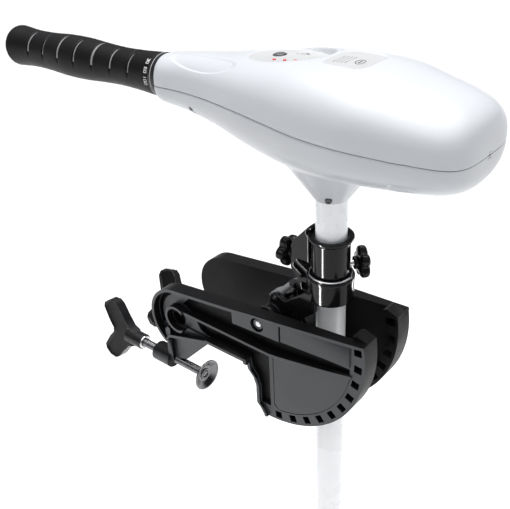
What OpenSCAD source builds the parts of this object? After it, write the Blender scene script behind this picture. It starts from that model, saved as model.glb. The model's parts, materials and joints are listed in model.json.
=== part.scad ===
// Transom-mount electric trolling motor with a tiller head.
// Origin: centre of the bracket's transom bearing face. +X is aft, -X is into the boat, +Z is up the shaft.
// "Near" pieces lie at -Y and "far" pieces at +Y.

/* [Shaft] */
// Outer diameter of the shaft tube
tube_d = 28.6; // [28.6]
// Wall of the shaft tube
tube_wall = 3; // [2:0.5:5]
// Length of the shaft tube
tube_len = 914; // [860:1:930]
// Distance from the transom face to the shaft axis
shaft_x = 62; // [61:0.5:63]

/* [Bracket] */
// Height of the tilt pivot above the origin
pivot_z = 84; // [83:0.5:85]
// Distance of the tilt pivot aft of the transom face
pivot_x = 8.5; // [8:0.5:9]
// Half of the clear gap between the side plates
gap_half = 30.5; // [30:0.5:31]
// Radius of the quadrant's outer rim
quadrant_r = 117; // [116:0.5:118]
// Radius of the circle of tilt windows
window_r = 110; // [109.5:0.5:110.5]
// Width of a tilt window
window_w = 8; // [7.5:0.5:8]
// Number of tilt windows
window_count = 10; // [6:1:10]
// Angle between tilt windows
window_pitch = 9.75; // [9.5:0.05:9.8]

/* [Clamp] */
// Distance of each clamp screw from the middle of the bracket
clamp_y = 38; // [37.5:0.5:38.5]
// Height of the clamp screws (below the origin)
clamp_z = -21.5; // [-22:0.5:-21]
// Diameter of a clamp screw
clamp_d = 9.5; // [9:0.25:9.5]
// Radius of a clamp pad
pad_r = 17; // [14:0.5:18]

/* [Head] */
// Height of the tiller axis above the shaft
tiller_z = 294.3; // [294:0.1:294.5]
// Droop of the tiller towards its end
tiller_droop = 2; // [1.8:0.1:2.2]
// Wall of the head covers
cover_wall = 3; // [2.5:0.25:3]
// Number of sections along the head
head_sections = 22; // [14:1:30]
// Number of points over half of a section
head_points = 20; // [12:2:28]

/* [Tiller] */
// Length of the rubber grip
grip_len = 223; // [220:1:224]
// Number of grooves round the grip
groove_count = 7; // [4:1:7]
// Outer radius of the sliding tiller tube
tiller_r = 11; // [10:0.5:11]
// How far the tiller pulls out
tiller_reach = 150; // [100:5:150]

/* [Lower unit] */
// Outer radius of the motor housing
pod_r = 46; // [44:0.5:48]
// Length of the straight motor housing
pod_len = 180; // [170:1:190]
// Radius at a propeller blade's tip
prop_r = 137; // [120:1:140]

/* [Hidden] */
$fn = 64;
eps = 0.05;                          // running clearance, radial
fit_r = tube_d / 2 + eps;            // bore that holds the shaft tube
tube_top = 268;
tube_bottom = tube_top - tube_len;
pod_z = tube_bottom - pod_r + 2;     // axis of the motor housing
pod_front = -85;                     // front of the straight housing, from the shaft axis
pod_back = pod_front + pod_len;
hub_x = pod_back + 37;               // front of the propeller's hub
pin_x = hub_x + 6;                   // drive pin that turns the propeller

// collar stack, measured up the shaft
ring_low = 115;
ring_high = 139;
ring_r = 21.7;
washer_high = 142;
collar_high = 179.5;
collar_r = 17.6;
flange_r = 20.8;
flange_t = 3;
depth_knob_z = 147;
tension_knob_z = 147;

// side plates
web_t = 3;                           // deep floor of the plate's pockets
panel_y = 38;                        // outer face of the quadrant's panels
flange_y = 46;                       // outermost reach of the arm's flanges
ring_y = 18;                         // inner face of the thick windowed rim
rim_in = quadrant_r - 12.5;          // where the thick rim starts
first_window = 6.9;                  // angle of the highest window
nose_c = [-99, 39];                  // centre of the arm's rounded nose
nose_r = 41;
strip_w = 3.5;                       // width of the flange along the plate's edge
loop_c = [-103, 43];                 // centre of the looped rib in the nose

// latch: the bar moves along a line from the pivot through the lowest window
latch_a = first_window - (window_count - 1) * window_pitch;
latch_travel = 9.5;
bar_w = 6.6;
bar_half = 29.5;
dowel_half = 32.4;                   // half length of the dowels that hold the transom block
knob_turn = 50;                      // the depth knob faces this far from +X towards +Y
bar_r = window_r - latch_travel;     // the bar is drawn with its latch pulled clear of the windows
rod_off = 15;                        // offset of the pull rod from the bar's line
lever_pin = [11, 103];

// clamp screw stations along X
hub_face = -171;
boss_front = -146;
boss_back = -122;
pad_face = -72;

// head sections at even stations, measured from the shaft axis
head_front = -184;
tail_x = 90;                         // where the rounded rear end starts
half_width = [25, 29.3, 37.6, 48.8, 58, 65.4, 67.6, 60];
top_height = [310, 316.7, 322.6, 330, 336.5, 340, 339.6, 333];
bottom_height = [265.6, 263.7, 259, 252, 247, 247, 251, 255];
seam_height = [285, 288.5, 291.5, 294, 294.4, 294, 294.4, 292.7];
station_step = (tail_x - head_front) / (len(half_width) - 1);
mouth_len = 10;                      // the head swells over this length behind the dial ring
mouth_in = 3;
tail_end = 137;
tail_z = 290;
neck_z = 217;                        // lower end of the neck that holds the tube
neck_screw_turn = 27.5;              // the neck's screw, turned from the near side towards the rear
upper_power = 2.5;
lower_power = 2.3;
tail_power = 4.3;

// ---------- helpers ----------

function arc(c, r, a0, a1, n) =
    [for (i = [0:n]) let (a = a0 + (a1 - a0) * i / n) [c[0] + r * cos(a), c[1] + r * sin(a)]];

// Catmull-Rom curve through evenly spaced values
function value_at(v, s) =
    let (n = len(v), i = min(max(floor(s), 0), n - 2), t = s - i,
         b = v[i], c = v[i + 1],
         a = i > 0 ? v[i - 1] : 2 * b - c,
         d = i < n - 2 ? v[i + 2] : 2 * c - b)
    b + 0.5 * t * (c - a + t * (2 * a - 5 * b + 4 * c - d + t * (3 * (b - c) + d - a)));

function slope_at_end(v) = 1.3 * (v[len(v) - 1] - v[len(v) - 2]) / station_step;

// Turned about X: a cylinder from x0 to x1
module rod_x(x0, x1, r, r2 = undef) {
    translate([x0, 0, 0]) rotate([0, 90, 0])
        cylinder(h = x1 - x0, r1 = r, r2 = r2 == undef ? r : r2);
}

// A cylinder along Y from y0 to y1
module rod_y(y0, y1, r) {
    translate([0, y0, 0]) rotate([-90, 0, 0]) cylinder(h = y1 - y0, r = r);
}

// A profile of [x, radius] points turned about the X axis
module turned_x(points) {
    rotate([0, 90, 0]) rotate_extrude() polygon([for (p = points) [p[1], p[0]]]);
}

// A 2-D shape in X-Z, pulled out from y0 to y1 on the near side
module layer(y0, y1) {
    translate([0, -y0, 0]) rotate([90, 0, 0]) linear_extrude(height = y1 - y0) children();
}

module at_shaft() { translate([shaft_x, 0, 0]) children(); }
module at_pivot() { translate([pivot_x, 0, pivot_z]) children(); }

// Frame of the latch: +X runs from the pivot to the lowest window
module at_latch() { at_pivot() rotate([0, -latch_a, 0]) children(); }

// A coil spring along X
module coil_x(x0, x1, r, wire, turns) {
    sides = 6;
    per_turn = 12;
    steps = turns * per_turn;
    function ring(i) = let (a = 360 * i / per_turn, x = x0 + (x1 - x0) * i / steps)
        [for (j = [0:sides - 1]) let (b = 360 * j / sides)
            [x + wire * sin(b), (r + wire * cos(b)) * cos(a), (r + wire * cos(b)) * sin(a)]];
    points = [for (i = [0:steps]) each ring(i)];
    walls = [for (i = [0:steps - 1], j = [0:sides - 1]) let (k = (j + 1) % sides)
        [i * sides + j, i * sides + k, (i + 1) * sides + k, (i + 1) * sides + j]];
    start = [for (j = [sides - 1:-1:0]) j];
    finish = [for (j = [0:sides - 1]) steps * sides + j];
    polyhedron(points, concat([start], walls, [finish]));
}

// ---------- head ----------

// One section of the head: [x, half width, top, bottom, seam], shrunk by the wall t
function head_section(i, t) =
    let (straight = head_sections - 8, front = head_front)
    i <= straight
    ? let (u = i / straight, x = front + (tail_x - front) * pow(u, 1.4), s = (x - front) / station_step,
           swell = mouth_in * pow(max(1 - (x - front) / mouth_len, 0), 2))
        [x, value_at(half_width, s) - t - swell, value_at(top_height, s) - t,
         value_at(bottom_height, s) + t, value_at(seam_height, s)]
    : let (a = 88 * (i - straight) / 8, q = pow(sin(a), 2 / tail_power), k = pow(cos(a), 2 / tail_power),
           over = (tail_end - t - tail_x) * q, s = (tail_x - front) / station_step,
           seam = value_at(seam_height, s) + (tail_z - value_at(seam_height, s)) * q * q,
           w = value_at(half_width, s) - t + slope_at_end(half_width) * over,
           up = value_at(top_height, s) - t + slope_at_end(top_height) * over - seam,
           down = seam - value_at(bottom_height, s) - t - slope_at_end(bottom_height) * over)
        [tail_x + over, w * k, seam + up * k, seam - down * k, seam];

function head_point(section, a, upper) =
    let (n = upper ? upper_power : lower_power,
         c = cos(a), y = section[1] * sign(c) * pow(abs(c), 2 / n),
         rise = pow(max(sin(a), 0), 2 / n),
         z = upper ? section[4] + (section[2] - section[4]) * rise
                   : section[4] - (section[4] - section[3]) * rise)
    [section[0], y, z];

// Half of the head as one closed shell, lifted off the seam by gap
module cover_shell(upper, gap) {
    m = head_points;
    n = head_sections;
    row = m + 1;
    lift = upper ? [0, 0, gap] : [0, 0, -gap];
    outer = [for (i = [0:n], j = [0:m]) head_point(head_section(i, 0), 180 * j / m, upper) + lift];
    inner = [for (i = [0:n], j = [0:m]) head_point(head_section(i, cover_wall), 180 * j / m, upper) + lift];
    off = len(outer);
    skin = [for (i = [0:n - 1], j = [0:m - 1])
        [i * row + j, i * row + j + 1, (i + 1) * row + j + 1, (i + 1) * row + j]];
    lining = [for (f = skin) [off + f[3], off + f[2], off + f[1], off + f[0]]];
    rims = [for (i = [0:n - 1], e = [0, 1])
        e == 0 ? [i * row, (i + 1) * row, off + (i + 1) * row, off + i * row]
               : [off + i * row + m, off + (i + 1) * row + m, (i + 1) * row + m, i * row + m]];
    mouth = [for (j = [0:m - 1]) [j + 1, j, off + j, off + j + 1]];
    back_rim = [[n * row, n * row + m, off + n * row + m, off + n * row]];
    back = [[for (j = [m:-1:0]) n * row + j]];
    back_lining = [[for (j = [0:m]) off + n * row + j]];
    faces = concat(skin, lining, rims, mouth, back_rim, back, back_lining);
    polyhedron(concat(outer, inner), upper ? [for (f = faces) [for (k = [len(f) - 1:-1:0]) f[k]]] : faces);
}

// Height of the head's upper skin
function skin_z(x, y) =
    let (s = (x - head_front) / station_step, w = value_at(half_width, s), seam = value_at(seam_height, s))
    seam + (value_at(top_height, s) - seam) * pow(1 - pow(min(abs(y) / w, 1), upper_power), 1 / upper_power);

// A thin oval or rounded plate that follows the head's upper skin
module skin_plate(cx, cy, rx, ry, power, lift, t) {
    rings = 5;
    sides = 32;
    function spot(i, j) = let (a = 360 * j / sides, k = i / rings)
        [cx + rx * k * sign(cos(a)) * pow(abs(cos(a)), 2 / power),
         cy + ry * k * sign(sin(a)) * pow(abs(sin(a)), 2 / power)];
    function cell(i, j, h) = let (p = spot(i, j)) [p[0], p[1], skin_z(p[0], p[1]) + h];
    low = [for (i = [1:rings], j = [0:sides - 1]) cell(i, j, lift)];
    high = [for (i = [1:rings], j = [0:sides - 1]) cell(i, j, lift + t)];
    n = len(low);
    points = concat(low, high, [cell(0, 0, lift), cell(0, 0, lift + t)]);
    bands = [for (i = [0:rings - 2], j = [0:sides - 1]) let (k = (j + 1) % sides)
        [i * sides + j, (i + 1) * sides + j, (i + 1) * sides + k, i * sides + k]];
    edge = [for (j = [0:sides - 1]) let (k = (j + 1) % sides, e = (rings - 1) * sides)
        [e + j, n + e + j, n + e + k, e + k]];
    caps = [for (j = [0:sides - 1], h = [0, 1]) let (k = (j + 1) % sides)
        h == 0 ? [2 * n, j, k] : [2 * n + 1, n + k, n + j]];
    polyhedron(points, concat(bands, [for (f = bands) [n + f[3], n + f[2], n + f[1], n + f[0]]], edge, caps));
}

// the meter sits in an oval recess whose floor is a plane that climbs to the rear
panel_c = [-41, 0];
panel_r = [40.5, 25];
panel_front_z = 329.5;               // height of the plane at the recess's centre
panel_climb = 4.23;
panel_t = 2.4;
button_c = [-55.5, 3.5];
button_r = 5;
lamp_spots = [for (i = [0:3]) [-48.9 + 9.3 * i, -12 + 1.7 * i]];
screw_spots = [[-132, 25.3], [89, 50.5]];
screw_z = 274;                       // lower face of the cover screws' heads

function panel_at(x) = panel_front_z + (x - panel_c[0]) * tan(panel_climb);

// Oval prism square to the meter's plane, from low to high above it
module panel_prism(shrink, low, high) {
    translate([panel_c[0], panel_c[1], panel_front_z]) rotate([0, -panel_climb, 0]) translate([0, 0, low])
        linear_extrude(height = high - low)
            polygon([for (a = [0:6:354]) [(panel_r[0] - shrink) * cos(a), (panel_r[1] - shrink) * sin(a)]]);
}

module top_cover() {
    color("whitesmoke") at_shaft() difference() {
        cover_shell(true, 0.2);
        panel_prism(0, -panel_t, 20);
    }
}

module lower_cover() {
    color("gainsboro") at_shaft() difference() {
        union() {
            cover_shell(false, 0.2);
            translate([0, 0, neck_z]) cylinder(h = 10, r1 = 15.8, r2 = 23);
            translate([0, 0, neck_z + 10]) cylinder(h = 22, r1 = 23, r2 = 36);
        }
        translate([0, 0, 200]) cylinder(h = 60, r = fit_r);
        translate([0, 0, neck_z + 6]) rotate([0, 0, neck_screw_turn]) {
            rod_y(-40, 0, 2 + eps);
            rod_y(-40, -20.45, 3.2 + eps);
        }
        translate([80, 0, 240]) cylinder(h = 30, r = 7.05);
        for (p = screw_spots, side = [-1, 1]) translate([p[0], side * p[1], 240]) {
            cylinder(h = screw_z - 237, r = 3.6);
            cylinder(h = 60, r = 2 + eps);
        }
    }
}

module meter_panel() {
    color("silver") at_shaft() difference() {
        panel_prism(0.1, 0.05 - panel_t, 0);
        translate([button_c[0], button_c[1], 300]) cylinder(h = 60, r = button_r + 0.1);
        for (p = lamp_spots) translate([p[0], p[1], 300]) cylinder(h = 60, r = 1.6);
    }
}

module rear_label() { color("silver") at_shaft() skin_plate(21, 0, 19.5, 21, 5, 0.4, 0.6); }

module test_button() {
    z = panel_at(button_c[0]);
    color("black") at_shaft() translate([button_c[0], button_c[1], 0]) {
        translate([0, 0, z - 9]) cylinder(h = 10.6, r = button_r);
        translate([0, 0, z - 9]) cylinder(h = 2, r = button_r + 2);
    }
}

module meter_board() {
    color("darkgreen") at_shaft() difference() {
        translate([-90, -16, 308]) cube([74, 32, 1.6]);
        for (x = [-86, -20], y = [-12, 12]) translate([x, y, 300]) cylinder(h = 20, r = 1.6);
    }
}

module meter_leds() {
    color("red") at_shaft() for (p = lamp_spots) translate([p[0], p[1], 309.7]) {
        cylinder(h = panel_at(p[0]) - 309.9, r = 1.5);
        translate([0, 0, panel_at(p[0]) - 309.9]) sphere(r = 1.5);
    }
}

module speed_controller() {
    color("dimgray") at_shaft() translate([18, -30, 262]) {
        cube([70, 60, 8]);
        for (i = [0:8]) translate([3 + 7.5 * i, 4, 8]) cube([2.5, 52, 12]);
    }
}

module cover_screws() {
    color("silver") at_shaft() for (p = screw_spots, side = [-1, 1]) translate([p[0], side * p[1], screw_z]) {
        cylinder(h = 2.4, r = 3.4);
        translate([0, 0, 2.4]) cylinder(h = 12, r = 2);
    }
}

module cable_gland() {
    color("black") at_shaft() translate([80, 0, 0]) difference() {
        union() {
            translate([0, 0, 249]) cylinder(h = 12.5, r = 7);
            translate([0, 0, 258]) cylinder(h = 3, r = 10);
        }
        translate([0, 0, 230]) cylinder(h = 40, r = 3.5);
    }
}

module neck_screw() {
    color("silver") at_shaft() translate([0, 0, neck_z + 6]) rotate([0, 0, neck_screw_turn]) {
        rod_y(-20.5, -14.45, 2);
        rod_y(-22.6, -20.5, 3.2);
    }
}

// ---------- tiller ----------

// Frame of the tiller: X runs along its drooping axis from the shaft axis
module at_tiller() {
    translate([shaft_x, 0, tiller_z]) rotate([0, -tiller_droop, 0]) children();
}

ring_front = head_front - 10;        // face of the dial ring that the grip turns against
grip_end = ring_front - grip_len;
core_r = 15;
rod_w = 6;
grip_radius = [21.2, 19.2, 19.4, 20.9, 21, 19.4, 18.3, 18.9, 20.6];

module tiller_sleeve() {
    color("whitesmoke") at_tiller() difference() {
        union() {
            rod_x(head_front - 9, head_front + 55, core_r);
            rod_x(head_front + 1, head_front + 6, 18.8);
        }
        rod_x(head_front - 20, head_front + 60, tiller_r + eps);
    }
}

module tiller_tube() {
    color("gray") at_tiller() difference() {
        rod_x(grip_end + 14, head_front + tiller_reach + 44, tiller_r);
        rod_x(grip_end, 20, tiller_r - 1.5);
    }
}

module throttle_rod() {
    color("silver") at_tiller() translate([grip_end + 6, -rod_w / 2, -rod_w / 2])
        cube([head_front + tiller_reach + 38 - grip_end, rod_w, rod_w]);
}

module grip_core() {
    color("dimgray") at_tiller() difference() {
        rod_x(grip_end + 8, ring_front - 0.2, core_r);
        rod_x(grip_end + 14, ring_front + 1, tiller_r + eps);
        translate([grip_end, -rod_w / 2 - eps, -rod_w / 2 - eps]) cube([20, rod_w + 2 * eps, rod_w + 2 * eps]);
    }
}

// Swelling grip with grooves round it, closed by a rounded end
module grip() {
    n = 4 * (len(grip_radius) - 1);
    skin = [for (i = [0:n]) let (u = i / n)
        [grip_end + 4 + (ring_front - 0.2 - grip_end - 4) * u, value_at(grip_radius, u * (len(grip_radius) - 1))]];
    groove_first = ring_front - 29.6;
    groove_pitch = 25.7;
    color("black") at_tiller() difference() {
        turned_x(concat([[grip_end + 4, core_r + eps]], [[grip_end + 0.6, core_r + 1], [grip_end + 0.2, 18.5]],
                        [[grip_end + 1.4, 20.4]], skin, [[ring_front - 0.2, core_r + eps]]));
        for (i = [0:groove_count - 1]) translate([groove_first - groove_pitch * i, 0, 0])
            turned_x([[-1.6, 25], [-1.6, 19.2], [-0.8, 17.4], [0.8, 17.4], [1.6, 19.2], [1.6, 25]]);
    }
}

module grip_end_cap() {
    color("black") at_tiller() difference() {
        turned_x([[grip_end + 7.9, 0], [grip_end + 7.9, core_r - 0.3], [grip_end + 1, core_r - 0.3],
                  [grip_end, core_r - 3], [grip_end - 0.5, 0]]);
        translate([grip_end + 5.8, -rod_w / 2 - eps, -rod_w / 2 - eps]) cube([5, rod_w + 2 * eps, rod_w + 2 * eps]);
    }
}

module dial_ring() {
    color("black") at_tiller() difference() {
        turned_x([[ring_front, 0], [ring_front, 20.6], [head_front - 1, 21.7], [head_front - 1, 0]]);
        rod_x(ring_front - 1, head_front, core_r + eps);
    }
}

// ---------- shaft ----------

module shaft_tube() {
    color("white") at_shaft() difference() {
        translate([0, 0, tube_bottom]) cylinder(h = tube_len, r = tube_d / 2);
        translate([0, 0, tube_bottom - 1]) cylinder(h = tube_len + 2, r = tube_d / 2 - tube_wall);
    }
}

module wire_bundle() {
    color("firebrick") at_shaft() for (a = [0, 120, 240]) rotate([0, 0, a])
        translate([4, 0, tube_bottom + 4]) cylinder(h = tube_len - 2, r = 2.4);
}

module depth_collar() {
    color("black") at_shaft() difference() {
        union() {
            translate([0, 0, washer_high]) cylinder(h = collar_high - washer_high, r = collar_r);
            translate([0, 0, collar_high - flange_t]) cylinder(h = flange_t, r = flange_r);
        }
        translate([0, 0, ring_low]) cylinder(h = 100, r = fit_r);
        at_depth_knob() rod_x(0, 30, 3 + eps);
    }
}

module collar_washer() {
    color("black") at_shaft() difference() {
        translate([0, 0, ring_high + 0.1]) cylinder(h = washer_high - ring_high - 0.1, r = ring_r - 0.2);
        translate([0, 0, ring_low]) cylinder(h = 50, r = fit_r);
    }
}

// Thumb knob with rounded lobes, its axis along +X from the origin
module lobed_knob(r, t, lobes) {
    rotate([0, 90, 0]) difference() {
        union() {
            linear_extrude(height = t) union() {
                circle(r = r * 0.62);
                for (i = [0:lobes - 1]) rotate(360 * i / lobes) translate([r * 0.6, 0]) circle(r = r * 0.4);
            }
            translate([0, 0, -3]) cylinder(h = 4, r = r * 0.4);
        }
        translate([0, 0, -4]) cylinder(h = 4 + t * 0.6, r = 3 + eps);
    }
}

// Frame of the depth knob: +X points out of the collar
module at_depth_knob() {
    translate([0, 0, depth_knob_z]) rotate([0, 0, knob_turn]) children();
}

module depth_knob() {
    color("black") at_shaft() at_depth_knob() translate([collar_r + 7, 0, 0]) lobed_knob(15.5, 9.5, 5);
}

module depth_screw() {
    color("silver") at_shaft() at_depth_knob() rod_x(fit_r + 0.1, collar_r + 12, 3);
}

// ---------- hinge carrier ----------

cheek_y = 15.5;
cheek_t = 5;
hub_r = 11;

// Side profile of a cheek, in X-Z
cheek_shape = [[pivot_x - 6, pivot_z - 8], [pivot_x + 6, pivot_z - 10], [44, 92], [58, 104], [58, 123],
               [48, 123], [24, 104], [14, 108], [7, 106], [pivot_x - 6, pivot_z + 8]];

// Front arm: its block on the ring, the boss of the tension screw and the hook over the collar's flange
arm_shape = [[32, 113], [45, 113], [45, 138], [42.4, 138], [42.4, 174], [40, 175.5], [40, 180.6], [45.5, 180.6],
             [45.5, 183.5], [43, 185], [24, 164], [21, 158], [21, 134], [29, 123]];
arm_half = 7.5;

module carrier() {
    color("black") difference() {
        union() {
            at_shaft() translate([0, 0, ring_low]) cylinder(h = ring_high - ring_low, r = ring_r);
            for (side = [0, 1]) mirror([0, side, 0]) layer(cheek_y, cheek_y + cheek_t) polygon(cheek_shape);
            at_pivot() rod_y(-28.5, 28.5, hub_r);
            layer(-arm_half, arm_half) polygon(arm_shape);
            layer(-arm_half - 3, arm_half + 3) polygon([[31, 115], [44, 115], [44, 132], [36, 132], [28, 124]]);
            // arm that carries the latch, with a guide plate on each side of it
            at_latch() {
                layer(-9, 9) polygon([[8, -6], [50, -6], [54, -2.5], [76, -2.5], [76, 19], [30, 19], [8, 8]]);
                for (side = [0, 1]) mirror([0, side, 0]) layer(8, 11)
                    polygon([[56, -2.5], [78, -2.5], [84, -6], [118, -6], [118, 19], [56, 19]]);
            }
        }
        at_shaft() translate([0, 0, ring_low - 30]) cylinder(h = 200, r = 16.5);
        at_shaft() translate([0, 0, ring_high]) {
            cylinder(h = collar_high - ring_high, r = collar_r + 1);
            cylinder(h = washer_high - ring_high + 0.1, r = ring_r);
        }
        at_pivot() rod_y(-40, 40, 5 + eps);
        translate([0, 0, tension_knob_z]) rod_x(0, 60, 3 + eps);
        at_latch() {
            translate([0, 0, rod_off]) {
                rod_x(-60, 130, 2.5 + eps);
                rod_x(28, 68, 6);
            }
            translate([window_r - latch_travel - bar_w / 2 - 0.4, -20, -bar_w / 2 - eps])
                cube([latch_travel + bar_w + 0.8, 40, bar_w + 2 * eps]);
        }
        translate([lever_pin[0], 0, lever_pin[1]]) rod_y(-30, 30, 2 + eps);
        // windows on both sides of the arm's strut
        layer(-20, 20) polygon([[27, 146], [42.3, 146], [42.3, 136.5]]);
        layer(-20, 20) polygon([[25, 141.5], [39, 132.5], [36.5, 129.5], [25, 137]]);
        // square socket in the side of the block
        layer(arm_half - 2, 20) polygon([[36, 118], [43, 118], [43, 125], [36, 125]]);
    }
}

module carrier_bushing() {
    color("white") at_shaft() difference() {
        translate([0, 0, ring_low]) cylinder(h = ring_high - ring_low, r = 16.45);
        translate([0, 0, ring_low - 1]) cylinder(h = 60, r = fit_r);
    }
}

module tension_knob() {
    color("black") translate([17.9, 0, tension_knob_z]) rotate([0, 0, 180]) lobed_knob(15.5, 10, 5);
}

module tension_screw() {
    color("silver") translate([0, 0, tension_knob_z]) rod_x(13, shaft_x - collar_r - 0.1, 3);
}

// The tongue is pressed down to lift the fork, which lifts the head of the pull rod
module tilt_lever() {
    color("gainsboro") difference() {
        union() {
            translate([lever_pin[0], 0, lever_pin[1]]) rod_y(-14, 14, 4);
            layer(-6, 6) polygon([[14.8, 103.5], [12.8, 106.2], [-7, 93], [-8.5, 90.5], [-6, 90.4]]);
            for (side = [0, 1]) mirror([0, side, 0]) layer(3, 7)
                polygon([[11, 99.2], [11, 102], [17.5, 104], [19.8, 109.2], [22, 108.6], [22.4, 106.4]]);
        }
        translate([lever_pin[0], 0, lever_pin[1]]) rod_y(-30, 30, 2 + eps);
    }
}

module lever_pin_rod() {
    color("silver") translate([lever_pin[0], 0, lever_pin[1]]) rod_y(-cheek_y - cheek_t, cheek_y + cheek_t, 2);
}

module latch_bar() {
    color("silver") at_latch() translate([bar_r - bar_w / 2, -bar_half, -bar_w / 2])
        cube([bar_w, 2 * bar_half, bar_w]);
}

// Pull rod: head at the top, spring seat, and the foot that holds the bar
module latch_rod() {
    seat = 57;
    foot = bar_r - 10;
    color("silver") at_latch() difference() {
        union() {
            translate([0, 0, rod_off]) {
                rod_x(-28, foot + 2, 2.5);
                rod_x(-28, -25, 5);
                rod_x(seat, seat + 1.5, 5.6);
            }
            translate([foot, -7.9, -8]) cube([14.5, 15.8, 26]);
        }
        translate([bar_r - bar_w / 2 - eps, -30, -bar_w / 2 - eps]) cube([bar_w + 2 * eps, 60, bar_w + 2 * eps]);
    }
}

module latch_spring() {
    color("silver") at_latch() translate([0, 0, rod_off]) coil_x(29, 56, 4.2, 0.7, 9);
}

// ---------- tilt pivot ----------

module pivot_bolt() {
    color("silver") at_pivot() {
        rod_y(-40.5, 46, 5);
        rod_y(-43.5, -40.5, 6);
    }
}

module pivot_nut() {
    color("silver") at_pivot() difference() {
        translate([0, 40.6, 0]) rotate([-90, 0, 0]) cylinder(h = 5, r = 7.5, $fn = 6);
        rod_y(30, 60, 5 + eps);
    }
}

module pivot_bushings() {
    color("black") at_pivot() for (side = [0, 1]) mirror([0, side, 0]) difference() {
        union() {
            rod_y(28.6, 30.4, 12);
            rod_y(30.4, 34, 7.5);
        }
        rod_y(20, 50, 5 + eps);
    }
}

// ---------- side plates ----------

// Side outline of a plate in X-Z, drawn in by w along its top, nose, arm and front
module plate_outline(w = 0, rear = quadrant_r) {
    union() {
        intersection() {
            translate([pivot_x, pivot_z]) circle(r = rear);
            polygon([[-14, 91.2 - w], [-4, 92.5 - w], [150, 107.6 - w], [150, -45], [9 + w, -45], [9 + w, -31],
                     [4 + w, -23], [w, -19], [w, 3], [w - 3, 12], [w - 10, 20], [w - 12, 31 + w], [-14, 31 + w]]);
        }
        polygon([[-104.2, 79.65 - w], [-13, 91.3 - w], [-13, 31 + w], [-60, 31 + w], [-90, 40]]);
        intersection() {
            translate(nose_c) circle(r = nose_r - w);
            polygon([[-150, 110], [-99, 110], [-59, 60], [-59, 31.2 + w], [-117, 14 + w], [-126, 2 + w],
                     [-134 + w, 7 + w], [-150, 7 + w]]);
        }
    }
}

// Strip of the outline within w of its top, nose, arm and front
module edge_strip(w) {
    difference() {
        plate_outline();
        plate_outline(w, quadrant_r + 20);
    }
}

// The plate narrows towards the rear: its plan outline
module plan_limit() {
    translate([0, 0, -60]) linear_extrude(height = 200)
        polygon([[-160, -flange_y], [-20, -flange_y], [34, -flange_y + 2], [126, -panel_y - 0.5], [126, 0], [-160, 0]]);
}

mid_rib = [[-96, 56], [20, 55], [83, 63.5], [112, 68.5], [112, 65.5], [83, 60.5], [20, 52], [-96, 53]];

module window(i, r0, r1, y0, y1) {
    at_pivot() rotate([0, -(first_window - i * window_pitch), 0])
        translate([r0, -y1, -window_w / 2]) cube([r1 - r0, y1 - y0, window_w]);
}

module sector(r0, r1, y0, y1) {
    intersection() {
        at_pivot() difference() {
            rod_y(-y1, -y0, r1);
            rod_y(-y1 - 1, -y0 + 1, r0);
        }
        layer(y0 - 1, y1 + 1) polygon([[14.2, -60], [140, -60], [140, 105], [60, 105], [pivot_x + 20, 40], [14.2, 40]]);
    }
}

// Pockets between the ribs, cut down to the thin web
module pockets() {
    polygon(concat([[-30, 86], [-22, 87], [-22, 72], [34, 73], [36, 73.5], [110, 75], [110, 68.5], [83, 63.5], [20, 55], [-88, 56]],
                   arc([-103, 43], 19.5, 50, 75, 3), [[-80, 80], [-60, 83.5]]));
    polygon([[-84, 53], [16, 52], [16, -18], [4.2, -18], [4.2, 3], [1, 14], [-6, 24], [-8, 34.5], [-68, 34.5], [-76, 38]]);
    polygon(concat(arc(nose_c, nose_r - 4.2, 203, 120, 8), arc(nose_c, nose_r - 9.5, 120, 203, 8)));
    polygon(arc([-106, 41], 9, 0, 360, 20));
}

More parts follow.
